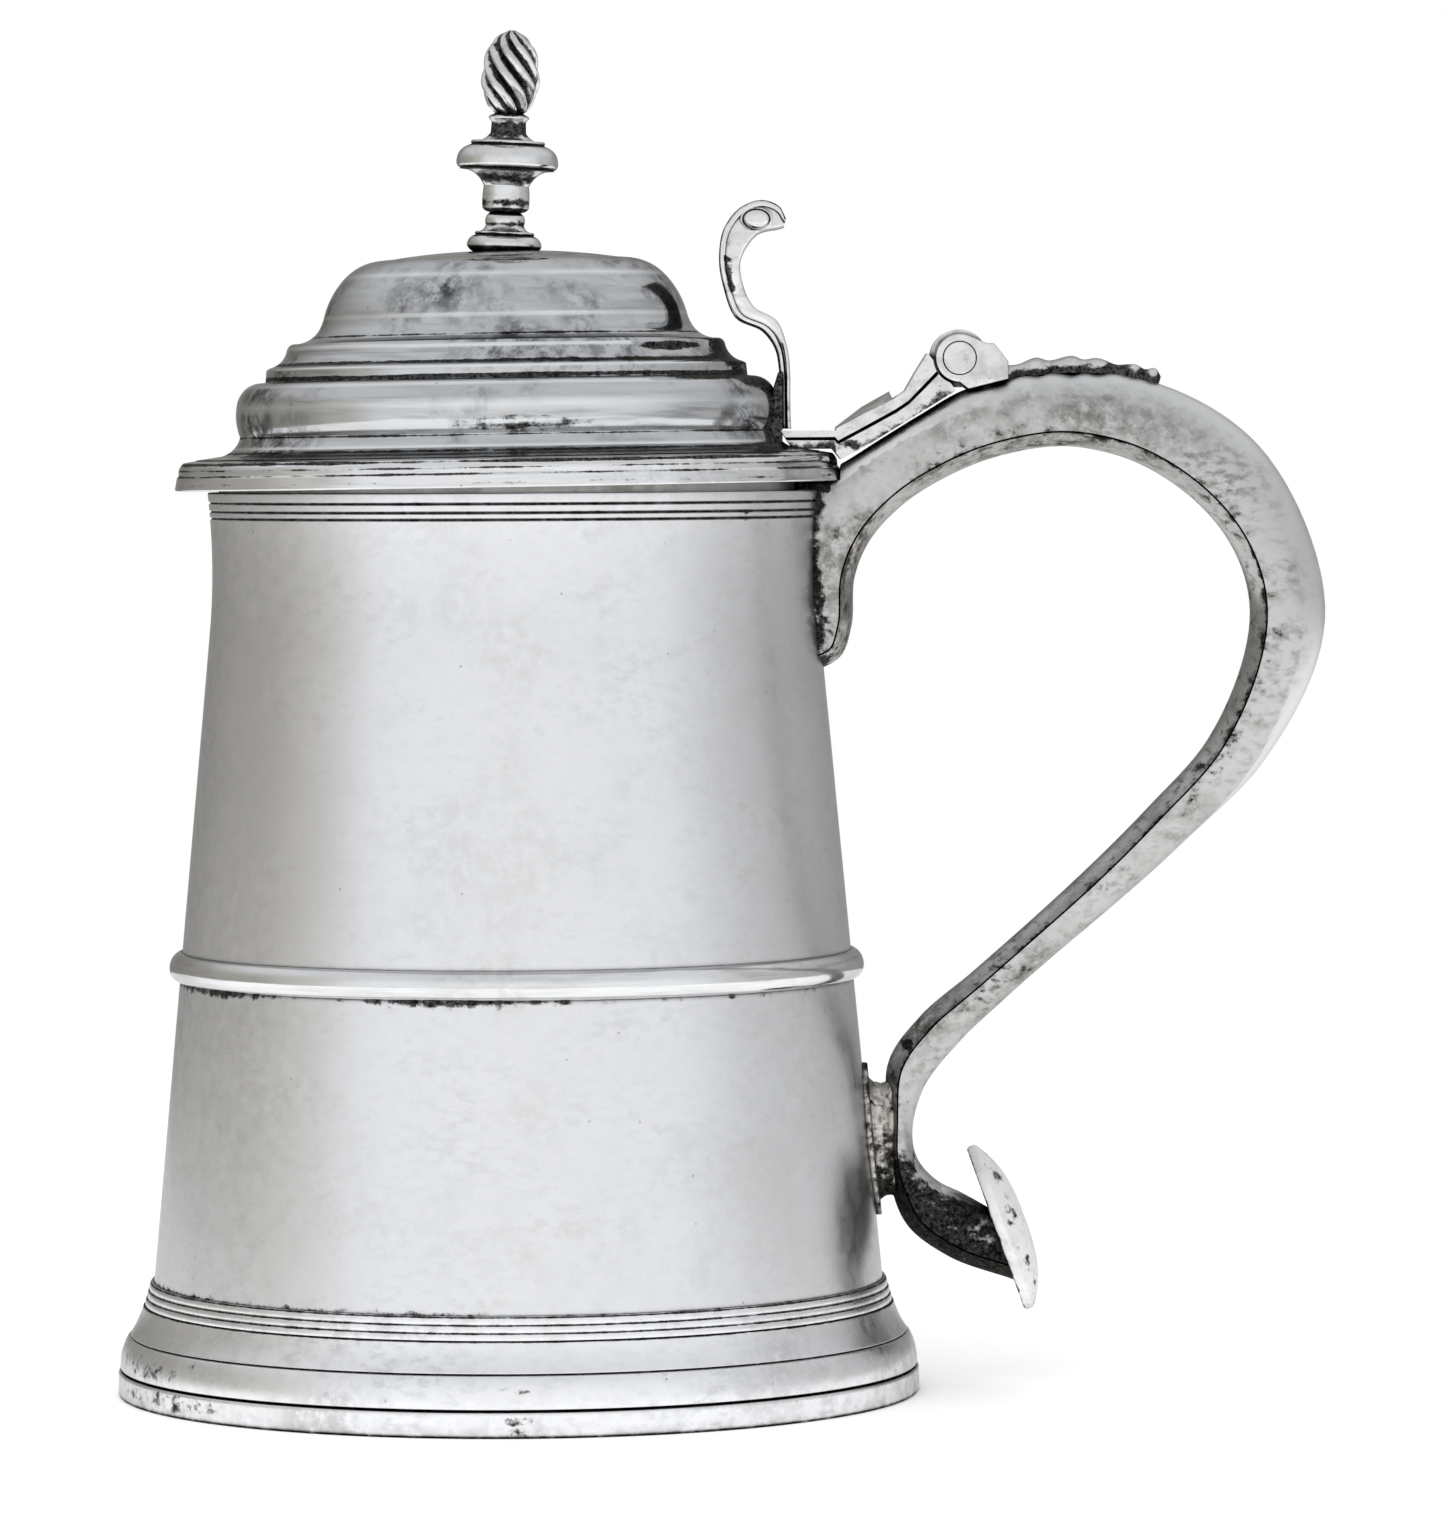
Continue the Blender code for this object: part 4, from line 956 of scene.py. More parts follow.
def fade(distance, reach):
    """1 at no distance, falling to 0 at the given reach."""
    return max(0.0, 1 - abs(distance) / reach)


def between(ends, share):
    """The value that lies this share of the way from the first end to the second."""
    return ends[0] + (ends[1] - ends[0]) * share


def in_patch(x, z, middle_x, half_x, middle_z, half_z):
    """1 well inside a patch, falling to 0 at its border."""
    return min(1.0, PATCH_CORE * fade(x - middle_x, half_x) * fade(z - middle_z, half_z))


def patchy(x, y, z, size=1.0):
    """Slow random shares between 0 and 1, in patches of the given size, the same at each build."""
    return 0.5 + 0.5 * noise.noise(Vector((x / size, y / size, z / size)))


def around(x, y, patches, height=0.0, layer=0.0):
    """Random shares that change round the axis, by this many patches to a radian, and with height."""
    return patchy(patches * math.atan2(y, x), height, layer)


def blacken(mesh, shares):
    """Write a share of black for each point, tarnish and in places painted shade and reflections; one below
    0 is rubbed bright, in places a painted highlight.
    """
    mesh.attributes.new("tarnish_and_painted_light", "FLOAT", "POINT").data.foreach_set("value", shares)


def set_piece(node, mesh, body, place, silver, rule=None):
    """A finished piece takes its node's place on the body it rides on; the rule gives its tarnish and
    painted light.
    """
    if rule:
        blacken(mesh, [rule(*(vertex.co / MM)) for vertex in mesh.vertices])
    mesh.transform(place)
    mesh.shade_smooth()
    mesh.set_sharp_from_angle(angle=SHARP_ANGLE)
    mesh.materials.clear()
    mesh.materials.append(silver)
    piece = bpy.data.objects.new(node + "_silver", mesh)
    bpy.context.collection.objects.link(piece)
    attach(piece, body)
    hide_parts(node)


# Vessel


def make_barrel():
    """Tapering wall with incised lines under its lip, and the bottom that closes it."""
    outside = [(LIP_RADIUS, LIP_Z)]
    for drop in LIP_LINES:
        for side, depth in LIP_LINE_SHAPE:
            z = LIP_Z - drop + side * LIP_LINE_WIDTH / 2
            outside.append((wall_radius(z) - depth * LIP_LINE_DEPTH, z))
    top = outside[-1][1]
    rows = int((top - WALL_FOOT_Z) / WALL_STEP)
    heights = [top + (WALL_FOOT_Z - top) * row / rows for row in range(1, rows + 1)]
    heights += [FOOT_TOP + FINE_STEP * row for row in range(FINE_ROWS)]
    heights.sort(reverse=True)
    outside += [(wall_radius(z), z) for z in heights]
    inside = [(wall_radius(z) - BARREL_WALL, z) for z in heights[::-1]]
    inside.append((LIP_RADIUS - BARREL_WALL, LIP_Z))
    profile = inside[-2:] + eased(inside[-1:] + outside[:2], LIP_EASE) + outside[2:] + inside[:-2]
    mesh = turned("barrel", profile, PLANISHED, wave_height=WALL_WAVES * MM)
    girdle_under, girdle_top = MIDBAND_Z - MIDBAND_HEIGHT / 2, MIDBAND_Z + MIDBAND_HEIGHT / 2

    def under_wires(x, y, z):
        thick = around(x, y, patches=6, layer=1.0) * around(x, y, patches=30, layer=2.0)
        if y < 0:
            heavy = max(fade(x - at, half) for at, half in GIRDLE_BLACK)
            thick = (GIRDLE_THIN + heavy**0.5) * around(x, y, patches=24, layer=2.0)
        reach = between(UNDER_GIRDLE_REACH, thick)
        share = fade(girdle_under - z, reach) * between(UNDER_GIRDLE_SOOT, thick)
        share = max(share, OVER_GIRDLE_SOOT * fade(z - girdle_top, OVER_GIRDLE_REACH))
        reach = OVER_FOOT_REACH
        if y < 0 and x < 0:
            reach = between(OVER_FOOT_LEFT_REACH, around(x, y, patches=24, height=3.0, layer=2.0))
        share = max(share, OVER_FOOT_SOOT * fade(z - FOOT_TOP, reach))
        drop = LIP_Z - z
        if LIP_EASE < drop < LIP_SPECK_REACH:
            specks = around(x, y, patches=12, height=drop * LIP_SPECKS_PER_MM, layer=4.0) ** LIP_SPECK_POWER
            lines = max(fade(drop - line, LIP_LINE_WIDTH / 2) for line in LIP_LINES)
            share = max(share, LIP_SPECK_SOOT * specks, LIP_LINE_SOOT * lines)
        return share

    set_piece("barrel", mesh, "vessel", ON_BARREL, PLANISHED, under_wires)

    def bore(z):
        return wall_radius(z) - BARREL_WALL

    under, skirt = FLOOR_HEIGHT - FLOOR_WALL, FLOOR_HEIGHT - FLOOR_SKIRT
    profile = (
        (0.0, FLOOR_HEIGHT),
        (bore(FLOOR_HEIGHT), FLOOR_HEIGHT),
        (bore(skirt), skirt),
        (bore(skirt) - FLOOR_WALL, skirt),
        (bore(under) - FLOOR_WALL, under),
        (0.0, under),
    )
    mesh = turned("barrel_bottom", eased(profile, LIP_EASE), INSIDE, ring=False)
    set_piece("barrel_bottom", mesh, "vessel", ON_BARREL, INSIDE)


def ring_on_wall(node, rows, ease, silver, rule=None):
    """A moulding soldered round the wall; rows are (height, proud, bulge) from the bottom up."""
    outer = arcs([(wall_radius(z) + proud, z, bulge) for z, proud, bulge in rows])
    inner = [Vector((wall_radius(z) - EMBED, z)) for z in (rows[0][0], rows[-1][0])]
    profile = [inner[1]] + eased([inner[1]] + outer[::-1] + [inner[0]], ease)[1:]
    mesh = turned(node, dense(profile, FINE_STEP), silver, wave_height=WIRE_WAVES * MM)
    set_piece(node, mesh, "vessel", ON_BARREL, silver, rule)


def on_foot(x, y, z):
    """Black on the foot: tarnish in lines between the reeds and in mottled patches, and small dark marks in
    front, the middle ones a painted reflection of the camera.
    """
    if z > FOOT_MOTTLE_TOP:
        edges = (CAVETTO_TOP + REED_HEIGHT * reed / REED_COUNT for reed in range(REED_COUNT + 1))
        line = max(fade(z - edge, REED_LINE_HALF) for edge in edges)
        return line * between(REED_LINE_SOOT, around(x, y, patches=6, layer=10.0))
    mottle = around(x, y, patches=5, height=z / FOOT_MOTTLE_HEIGHT, layer=11.0)
    share = FOOT_MOTTLE_SOOT * max(0.0, mottle - FOOT_MOTTLE_FROM)
    if y < 0:
        share = max(share, *(FOOT_PATCH_DARKNESS * in_patch(x, z, *area) for area in FOOT_DARK_PATCHES))
    return share


def make_mouldings():
    """Girdle wire, and the foot's rim, torus, cavetto and reeds."""
    half = MIDBAND_HEIGHT / 2
    rows = []
    for step in range(2 * ARC_STEPS + 1):
        angle = math.pi * (step / (2 * ARC_STEPS) - 0.5)
        rows.append((MIDBAND_Z + half * math.sin(angle), MIDBAND_PROUD * math.cos(angle), 0.0))
    ring_on_wall("midband", rows, FOOT_EASE, DRAWN)

    inner = FOOT_RADIUS - FOOT_RIM_WIDTH
    rim = [
        (inner, FOOT_RIM_HEIGHT),
        (FOOT_RADIUS, FOOT_RIM_HEIGHT),
        (FOOT_RADIUS, 0.0),
        (inner, 0.0),
        (inner, FOOT_RIM_HEIGHT / 2),
    ]
    rim = dense(eased(rim, FOOT_EASE), FINE_STEP)
    mesh = turned("foot_rim", rim, WORN, wave_height=WIRE_WAVES * MM)
    set_piece("foot_rim", mesh, "vessel", ON_BARREL, WORN, on_foot)

    moulding = (
        (FOOT_RIM_HEIGHT + FOOT_LINE, TORUS_PROUD, 0.0),
        (TORUS_TOP, TORUS_TOP_PROUD, TORUS_BULGE),
        (TORUS_TOP + FOOT_LINE / 2, TORUS_TOP_PROUD - 2 * FOOT_LINE, 0.0),
        (TORUS_TOP + FOOT_LINE, TORUS_TOP_PROUD - FOOT_LINE, 0.0),
        (CAVETTO_TOP, CAVETTO_PROUD, -CAVETTO_HOLLOW),
    )
    ring_on_wall("foot_moulding", moulding, FOOT_LINE, WORN, on_foot)
    low = CAVETTO_TOP + FOOT_LINE / 2
    reeds = [(low, REED_LOWER_PROUD - FOOT_LINE, 0.0)]
    for reed in range(1, REED_COUNT + 1):
        share = reed / REED_COUNT
        proud = REED_LOWER_PROUD + (REED_UPPER_PROUD - REED_LOWER_PROUD) * share
        reeds.append((low + REED_HEIGHT * share, proud - FOOT_LINE, REED_BULGE))
    ring_on_wall("foot_reeding", reeds, 0.0, WORN, on_foot)


Station = namedtuple("Station", "outer inner width square normal")


def handle_stations():
    """Sections of the handle: outer and inner edge, width, squareness, and normal of the inner edge."""
    root = [
        (x, hinge_seat(max(x, TAB_X)) - SEAM, inner_x, inner_z, width, square)
        for x, inner_x, inner_z, width, square in HANDLE_ROOT
    ]
    hinge = np.array((HINGE_X, HINGE_Z, HINGE_X, HINGE_Z, 0.0, 0.0))
    seat_x = wall_radius(STRUT_Z)
    strut = np.array((seat_x, STRUT_Z, seat_x, STRUT_Z, 0.0, 0.0))
    upper = [np.array(row) + hinge for row in root + list(HANDLE_BOW)]
    lower = [np.array(row) + strut for row in HANDLE_TAIL]
    rows = np.array(smooth(upper + lower))
    outer, inner, sizes = rows[:, 0:2], rows[:, 2:4], rows[:, 4:6]
    along = np.gradient(inner, axis=0)
    normals = np.stack((-along[:, 1], along[:, 0]), axis=1)
    normals[-1] = outer[-1] - inner[-1]
    normals /= np.linalg.norm(normals, axis=1)[:, None]
    return [
        Station(Vector(far), Vector(near), *size, Vector(normal))
        for far, near, size, normal in zip(outer, inner, sizes, normals)
    ]


def strip_depth(at):
    """Depth of the inner strip, which is less where the handle is shallow."""
    return min(STRIP_DEPTH, STRIP_SHARE * (at.outer - at.inner).length)


def handle_back_ring(at):
    """Section of the back: a squarish arch that stands on the strip."""
    mouth = at.inner + at.normal * (strip_depth(at) + SEAM_LINE)
    power = 2 / at.square
    ring = []
    for step in range(ARCH_STEPS + 1):
        angle = math.pi * step / ARCH_STEPS
        x, z = mouth.lerp(at.outer, abs(math.sin(angle)) ** power)
        ring.append((x, squared(math.cos(angle), power) * at.width / 2, z))
    return ring


def handle_strip_ring(at):
    """Section of the bowed strip on the finger side."""
    full = strip_depth(at)
    finger_side, back = [], []
    for step in range(STRIP_STEPS + 1):
        share = 2 * step / STRIP_STEPS - 1
        bow = full * share**2
        backing = max(bow + STRIP_WALL, full + SEAM_LINE - WELD) if abs(share) < 1 else bow
        for loop, depth in ((finger_side, bow), (back, backing)):
            x, z = at.inner + at.normal * depth
            loop.append((x, share * at.width / 2, z))
    return finger_side + back[::-1]


def make_handle(stations):
    """Hollow scroll handle: its back and the strip that closes it, cut off at the barrel and the lid."""
    heights = np.linspace(LIP_Z, LIP_Z - FLARE_HEIGHT, ARC_STEPS)
    barrel = [(wall_radius(z) - EMBED, z) for z in (*heights, MIDBAND_Z)]
    tab, above = LIP_RADIUS - LIP_TAB, LIP_Z + STRIP_DEPTH
    barrel = [(0.0, above), (tab, above), (tab, LIP_Z)] + barrel + [(0.0, MIDBAND_Z)]
    clear = LID_RADIUS + RIM_PLAY
    lid = [(0.0, LID_HEIGHT), (clear, LID_HEIGHT), (clear, -WELD), (0.0, -WELD)]
    middles = np.array([(at.outer + at.inner) / 2 for at in stations])
    tail_x = wall_radius(STRUT_Z)

    def sheltered(x, y, z):
        gap = math.hypot(x, y) - wall_radius(z)
        # where it reaches in over the lip, under the lid's rim, the handle is painted black all over as
        # shade in the gap under the lid
        if z > LIP_Z - SEAM and gap < STRIP_DEPTH:
            return 1.0
        at = stations[np.argmin(np.sum((middles - (x, z)) ** 2, axis=1))]
        depth = (Vector((x, z)) - at.inner).dot(at.normal)
        edge = (at.outer - at.inner).dot(at.normal) - depth
        seam = depth - strip_depth(at)
        rough = patchy(x, y, z, size=4.0)
        share = SEAM_SOOT * fade(seam, SEAM_SOOT_REACH) * patchy(x, 0.0, z, size=9.0) ** 0.5
        # specks of tarnish thicken towards the seam, and are painted darker there as shade
        specks = fade(seam, SEAM_SPECK_AND_SHADE_REACH) ** 0.5 * patchy(x, 0.0, z, size=12.0) ** 0.3
        share = max(share, SEAM_SPECK_AND_SHADE_SOOT * specks)
        if z > MIDBAND_Z:
            share = max(share, fade(gap, between(ROOT_REACH, rough)) * between(ROOT_SOOT, rough))
        else:
            share = max(share, TAIL_NEAR_WALL_SOOT * fade(gap, TAIL_NEAR_WALL_REACH))
            near_strip = depth < 2 * STRIP_DEPTH
            if z < STRUT_Z and (edge > TAIL_EDGE or near_strip):
                black = (STRUT_Z - z) / TAIL_BLACK
                black += TAIL_NEAR_STRUT_SOOT * fade(x - tail_x, TAIL_NEAR_STRUT_REACH)
                most = TAIL_STRIP_MOST if near_strip else TAIL_BACK_MOST
                share = max(share, min(most, black) * between(TAIL_PATCHES, rough))
            if seam < 0:
                joint = STRIP_JOINT[0] * (x - tail_x) + STRIP_JOINT[1] * (z - STRUT_Z) - STRIP_JOINT[2]
                share = max(share, STRIP_JOINT_SOOT * fade(joint, STRIP_JOINT_HALF))
        # elsewhere the back is rubbed bright towards its outer edge: wear, and a painted highlight along it
        return share if share > 0 else -fade(edge, BACK_RUB_AND_HIGHLIGHT)

    for node, ring, silver in (
        ("handle_back", handle_back_ring, HANDLED),
        ("handle_inner_strip", handle_strip_ring, FINGERED_AND_SHADED),
    ):
        mesh = loft(node, [ring(at) for at in stations])
        mesh = combine(mesh, turned("mouth", barrel, ring=False), "DIFFERENCE")
        cap = turned("cap", lid, ring=False)
        cap.transform(ON_BARREL.inverted() @ ON_LID)
        mesh = combine(mesh, cap, "DIFFERENCE")
        set_piece(node, mesh, "vessel", ON_BARREL, silver, sheltered)


def make_strut(stations):
    """Oval plate on the barrel, and the rough block that joins it to the handle."""
    rings = []
    for share, gap in ((0.5, -EMBED), (1.0, -EMBED), (1.0, STRUT_PLATE_WALL), (0.5, STRUT_PLATE_WALL)):
        ring = []
        for step in range(SMALL_STEPS):
            angle = math.tau * step / SMALL_STEPS
            y = STRUT_PLATE_WIDTH / 2 * share * math.cos(angle)
            z = STRUT_Z + STRUT_PLATE_HEIGHT / 2 * share * math.sin(angle)
            ring.append((math.sqrt(wall_radius(z) ** 2 - y**2) + gap, y, z))
        rings.append(ring)
    mesh = loft("strut_plate", rings, BROKEN_EDGE)

    def on_plate(x, y, z):
        return between(STRUT_PLATE_SOOT, patchy(x, y / 2, z / 2))

    set_piece("strut_plate", mesh, "vessel", ON_BARREL, SOLDERED, on_plate)

    face = [at.inner for at in stations if at.inner.y < MIDBAND_Z]
    face_drops, face_x = [-point.y for point in face], [point.x for point in face]
    steps = 2 * ARC_STEPS
    rings = []
    for step in range(steps + 1):
        share = step / steps
        flare = 1 + STRUT_FLARE * (2 * share - 1) ** 2
        loop = []
        for angle in np.linspace(0, math.tau, SMALL_STEPS, endpoint=False):
            across = squared(math.cos(angle), STRUT_SQUARE) * STRUT_WIDTH / 2
            up = squared(math.sin(angle), STRUT_SQUARE) * STRUT_HEIGHT / 2
            z = STRUT_Z + up
            end_x = np.interp(-z, face_drops, face_x) + 3 * EMBED
            x = (1 - share) * (wall_radius(z) + STRUT_PLATE_WALL - EMBED) + share * end_x
            spot = Vector((x, across, z)) * STRUT_LUMP_SCALE
            lump = noise.fractal(spot, *STRUT_LUMP_FRACTAL) * STRUT_LUMPS
            loop.append((x, across * flare + lump, STRUT_Z + up * flare + lump))
        rings.append(loop)
    mesh = loft("handle_strut", rings)

    def on_strut(x, y, z):
        lower = (STRUT_Z - z) / STRUT_HEIGHT
        return between(STRUT_SOOT, patchy(x, y, z / 1.5)) + STRUT_SOOT_BELOW * lower

    set_piece("handle_strut", mesh, "vessel", ON_BARREL, SOLDERED, on_strut)


def make_terminal(tail):
    """Domed oval button on the tail's end face."""
    along = (tail.inner - tail.outer).normalized()
    centre = (tail.outer + tail.inner) / 2 - along * TERMINAL_RISE
    facing = Vector((-along.y, along.x))
    crown = TERMINAL_RIM + TERMINAL_DOME
    shares = np.linspace(0, 1, 2 * ARC_STEPS)
    profile = [(TERMINAL_RADIUS * t, crown - TERMINAL_DOME * t**TERMINAL_FULLNESS) for t in shares]
    profile = eased(profile + [(TERMINAL_RADIUS, 0.0), (0.0, 0.0)], TERMINAL_RIM / 2)
    mesh = turned("handle_terminal", profile, STRUCK, SMALL_STEPS, ring=False)

    def worn_rim(x, y, z):
        middle, half = TERMINAL_WORN
        ring = fade(math.hypot(x, y) / TERMINAL_RADIUS - middle, half) * patchy(x / 3, y / 3, 5.0) ** 0.5
        return TERMINAL_SOOT * max(ring, fade(z, TERMINAL_SEAT_REACH))

    turn = Matrix.Rotation(math.atan2(facing.x, facing.y), 4, "Y")
    oval = Matrix.Diagonal((1.0, TERMINAL_WIDTH_RATIO, 1.0, 1.0))
    place = ON_BARREL @ placed(*centre) @ turn @ oval
    set_piece("handle_terminal", mesh, "vessel", place, STRUCK, worn_rim)


def pin_profile(grow):
    """Profile of the riveted pin, or of its hole when grown by a gap."""
    end = HINGE_WIDTH / 2 + PIN_PROUD
    head = HINGE_WIDTH / 2 - PIN_HEAD_LENGTH - grow
    wide, narrow = PIN_HEAD_RADIUS + grow, PIN_RADIUS + grow
    half = [(0.0, end), (wide, end), (wide, head), (narrow, head)]
    return half + [(radius, -y) for radius, y in half[::-1]]


def make_bracket():
    """Fixed leaf with two outer knuckles, and the riveted pin."""
    outline = [(x, hinge_seat(x) - SEAM) for x in (BRACKET_NECK_X, BRACKET_LENGTH)]
    outline.append((BRACKET_LENGTH, BRACKET_END_Z))
    outline += BRACKET_TOP
    for angle in np.linspace(BRACKET_NECK_ANGLE, 3 * math.pi / 2, SMALL_STEPS // 2):
        outline.append((FIXED_KNUCKLE_RADIUS * math.cos(angle), FIXED_KNUCKLE_RADIUS * math.sin(angle)))
    mesh = prism("hinge_bracket", outline, HINGE_WIDTH, BROKEN_EDGE)
    slot = bar(LID_KNUCKLE_RADIUS + HINGE_PLAY, LID_KNUCKLE_WIDTH + 2 * SEAM)
    mesh = combine(mesh, slot, "DIFFERENCE")
    bore = turned("bore", pin_profile(SEAM / 2), steps=SMALL_STEPS, ring=False)
    bore.transform(ALONG_PIN)
    mesh = combine(mesh, bore, "DIFFERENCE")
    set_piece("hinge_bracket", mesh, "vessel", ON_HINGE, CAST)
    pin = turned("hinge_pin", eased(pin_profile(0.0), BROKEN_EDGE), CAST, SMALL_STEPS, ring=False)
    set_piece("hinge_pin", pin, "vessel", ON_HINGE @ ALONG_PIN, CAST)


def make_drop(stations):
    """Half-round moulded drop along the handle's back."""
    start = HINGE_X + BRACKET_LENGTH
    path = [at.outer for at in stations]
    first = next(index for index, point in enumerate(path) if point.x > start)
    share = (start - path[first - 1].x) / (path[first].x - path[first - 1].x)
    path = [path[first - 1].lerp(path[first], share)] + path[first:]
    arch = np.linspace(0, math.pi, ARCH_STEPS // 2)
    rings, shares = [], []
    for distance, half_width, height in smooth(DROP_ROWS, DROP_STEPS):
        index = 0
        while distance > (path[index + 1] - path[index]).length:
            distance -= (path[index + 1] - path[index]).length
            index += 1
        along = (path[index + 1] - path[index]).normalized()
        foot = path[index] + along * distance
        out = Vector((-along.y, along.x))
        sunk = foot - out * EMBED
        ring = [(sunk.x, side * half_width, sunk.y) for side in (-1, 1)]
        for angle in arch:
            x, z = foot + out * (SEAM + height * math.sin(angle))
            ring.append((x, half_width * math.cos(angle), z))
        rings.append(ring)
        bright = DROP_BRIGHT * min(1.0, max(0.0, (height - DROP_BLACK_HEIGHT) / DROP_BRIGHT_RISE))
        shares += [1.0] * 2 + [1.0 - bright * math.sin(angle) ** DROP_BRIGHT_POWER for angle in arch]
    mesh = loft("hinge_drop", rings)
    blacken(mesh, shares)
    set_piece("hinge_drop", mesh, "vessel", ON_BARREL, CAST)


# Lid


def make_lid():
    """Stepped and domed cover, its moulded rim and the locating ring under it."""
    rows = [(LID_RADIUS - inset, z, bulge) for inset, z, bulge in LID_FLANGE + LID_STEPS]
    rows.append((0.0, LID_HEIGHT, LID_CROWN_BULGE))
    outside = arcs(rows)
    inside = [Vector((max(point.x - LID_WALL, 0.0), point.y - LID_WALL)) for point in outside]
    profile = dense(eased(outside[::-1], LID_EASE), LID_ROW) + inside
    mesh = turned("lid_cover", profile, SPUN, ring=False, wave_height=LID_WAVES * MM)
    (flange_inset, flange_z, _), (step_inset, step_z, _) = LID_FLANGE

    def in_steps(x, y, z):
        inset = LID_RADIUS - math.hypot(x, y)
        if inset > flange_inset + 2 * LID_WALL and z < flange_z:
            return 0.0
        sheltered = 1.0
        if inset < step_inset - LID_WALL:
            sheltered = max(FLANGE_OPEN, fade(inset - flange_inset, FLANGE_EDGE))
        lines = []
        for height, half, share in LID_LINES:
            patches = between(LID_LINE_PATCHES, around(x, y, patches=4, height=height, layer=8.0))
            lines.append(sheltered * share * fade(z - height, half) * patches)
        # the patches beside the thumbpiece are painted reflections of it
        black = max(lines + [share * in_patch(x, z, *area) for *area, share in LID_DARK_PATCHES])
        return black if black > 0 else min(lines)

    set_piece("lid_cover", mesh, "lid", ON_LID, SPUN, in_steps)

    rim = arcs([(LID_RADIUS - inset, z, bulge) for inset, z, bulge in RIM_OUTLINE])
    leg, seat = rim[-1].x, LID_RADIUS - RIM_SEAT_INSET
    outline = [Vector((leg, RIM_SEAT_HEIGHT))] + rim[::-1]
    outline += [Vector((seat, 0.0)), Vector((seat, RIM_SEAT_HEIGHT))]
    outline = dense(eased(outline, LID_EASE), LID_ROW / 2)
    mesh = turned("lid_rim", outline, DRAWN, wave_height=WIRE_WAVES * MM)

    def on_rim(x, y, z):
        return max(
            share * fade(z - height, half) * around(x, y, patches=5, height=height, layer=12.0)
            for height, half, share in RIM_LINES
        )

    set_piece("lid_rim", mesh, "lid", ON_LID, DRAWN, on_rim)

    outer = wall_radius(LIP_Z - BEZEL_DEPTH) - BARREL_WALL - BEZEL_PLAY
    inner = outer - BEZEL_WALL
    top = step_z - LID_WALL
    ring = ((inner, top), (outer, top), (outer, -BEZEL_DEPTH), (inner, -BEZEL_DEPTH), (inner, 0.0))
    set_piece("lid_bezel", turned("lid_bezel", eased(ring, LID_EASE), INSIDE), "lid", ON_LID, INSIDE)


def tongue_underside():
    """Height, from the hinge axis, of the hinge plate's flat end on the lid's flange."""
    inset, height, _ = LID_FLANGE[1]
    return height - LID_SEAT + lid_x(inset) * math.sin(LID_TILT)


def thumb_foot():
    """Foot of the thumbpiece, against the lid's bulge and on top of the hinge plate."""
    bulge_inset, _, bulge = LID_STEPS[1]
    return lid_x(bulge_inset - bulge) + SEAM, tongue_underside() + PLATE_TONGUE + SEAM


def make_hinge_plate():
    """Moving leaf: a ridged strap from the lid's flange up to the middle knuckle, made of two layers."""
    left, _ = thumb_foot()
    low = tongue_underside()
    high = low + PLATE_TONGUE
    clear = lid_x(0.0) + 2 * SEAM
    bend = clear - PLATE_TONGUE / 2
    tongue_end = bend + TONGUE_RUN
    low -= EMBED
    rows = [((lid_x(LID_FLANGE[1][0]), low), (left, high), 0.0)]
    rows.append(((bend - 2 * EMBED, low), (bend, high), 0.0))
    rows.append(((clear - 2 * EMBED, hinge_seat(clear) + SEAM / 2), (bend, high + SEAM), SEAM))
    rows += [((x, hinge_seat(x) + SEAM / 2), top, ridge) for x, top, ridge in PLATE_ROWS]
    half = HINGE_WIDTH / 2
    rings = []
    for under, top, ridge in rows:
        under, top = Vector(under), Vector(top)
        line = (top - under).normalized() * PLATE_GROOVE / 2
        middle = under.lerp(top, PLATE_GROOVE_SHARE)
        flank = [(under, half), (middle - line, half), (middle, half - PLATE_GROOVE), (middle + line, half)]
        ring = [(point.x, y, point.y) for point, y in flank]
        for share in np.linspace(1, -1, 2 * ARC_STEPS + 1):
            ring.append((top.x, half * share, top.y + ridge * (1 - share**2)))
        ring += [(point.x, -y, point.y) for point, y in flank[::-1]]
        rings.append(ring)
    mesh = loft("lid_hinge_plate", rings)
    mesh = combine(mesh, bar(FIXED_KNUCKLE_RADIUS + HINGE_PLAY, HINGE_WIDTH + 2 * SEAM), "DIFFERENCE")
    mesh = combine(mesh, bar(LID_KNUCKLE_RADIUS, LID_KNUCKLE_WIDTH), "UNION")
    mesh = combine(mesh, bar(PIN_RADIUS + SEAM, HINGE_WIDTH), "DIFFERENCE")

    def in_groove(x, y, z):
        line = fade(abs(y) - half + PLATE_GROOVE, PLATE_LINE_HALF)
        share = line * between(PLATE_LINE_SOOT, patchy(x, 0.0, z))
        under = fade(z - hinge_seat(x), PLATE_UNDER_REACH)
        if x < tongue_end:
            under = fade(z - low, PLATE_TONGUE)
            share = max(share, TONGUE_SOOT * patchy(x / TONGUE_MOTTLE, y, z / TONGUE_MOTTLE) ** 0.5)
        return max(share, PLATE_UNDER_SOOT * under * patchy(x / 2, y / 2, 6.0) ** 0.5)

    set_piece("lid_hinge_plate", mesh, "lid", ON_HINGE, CAST, in_groove)


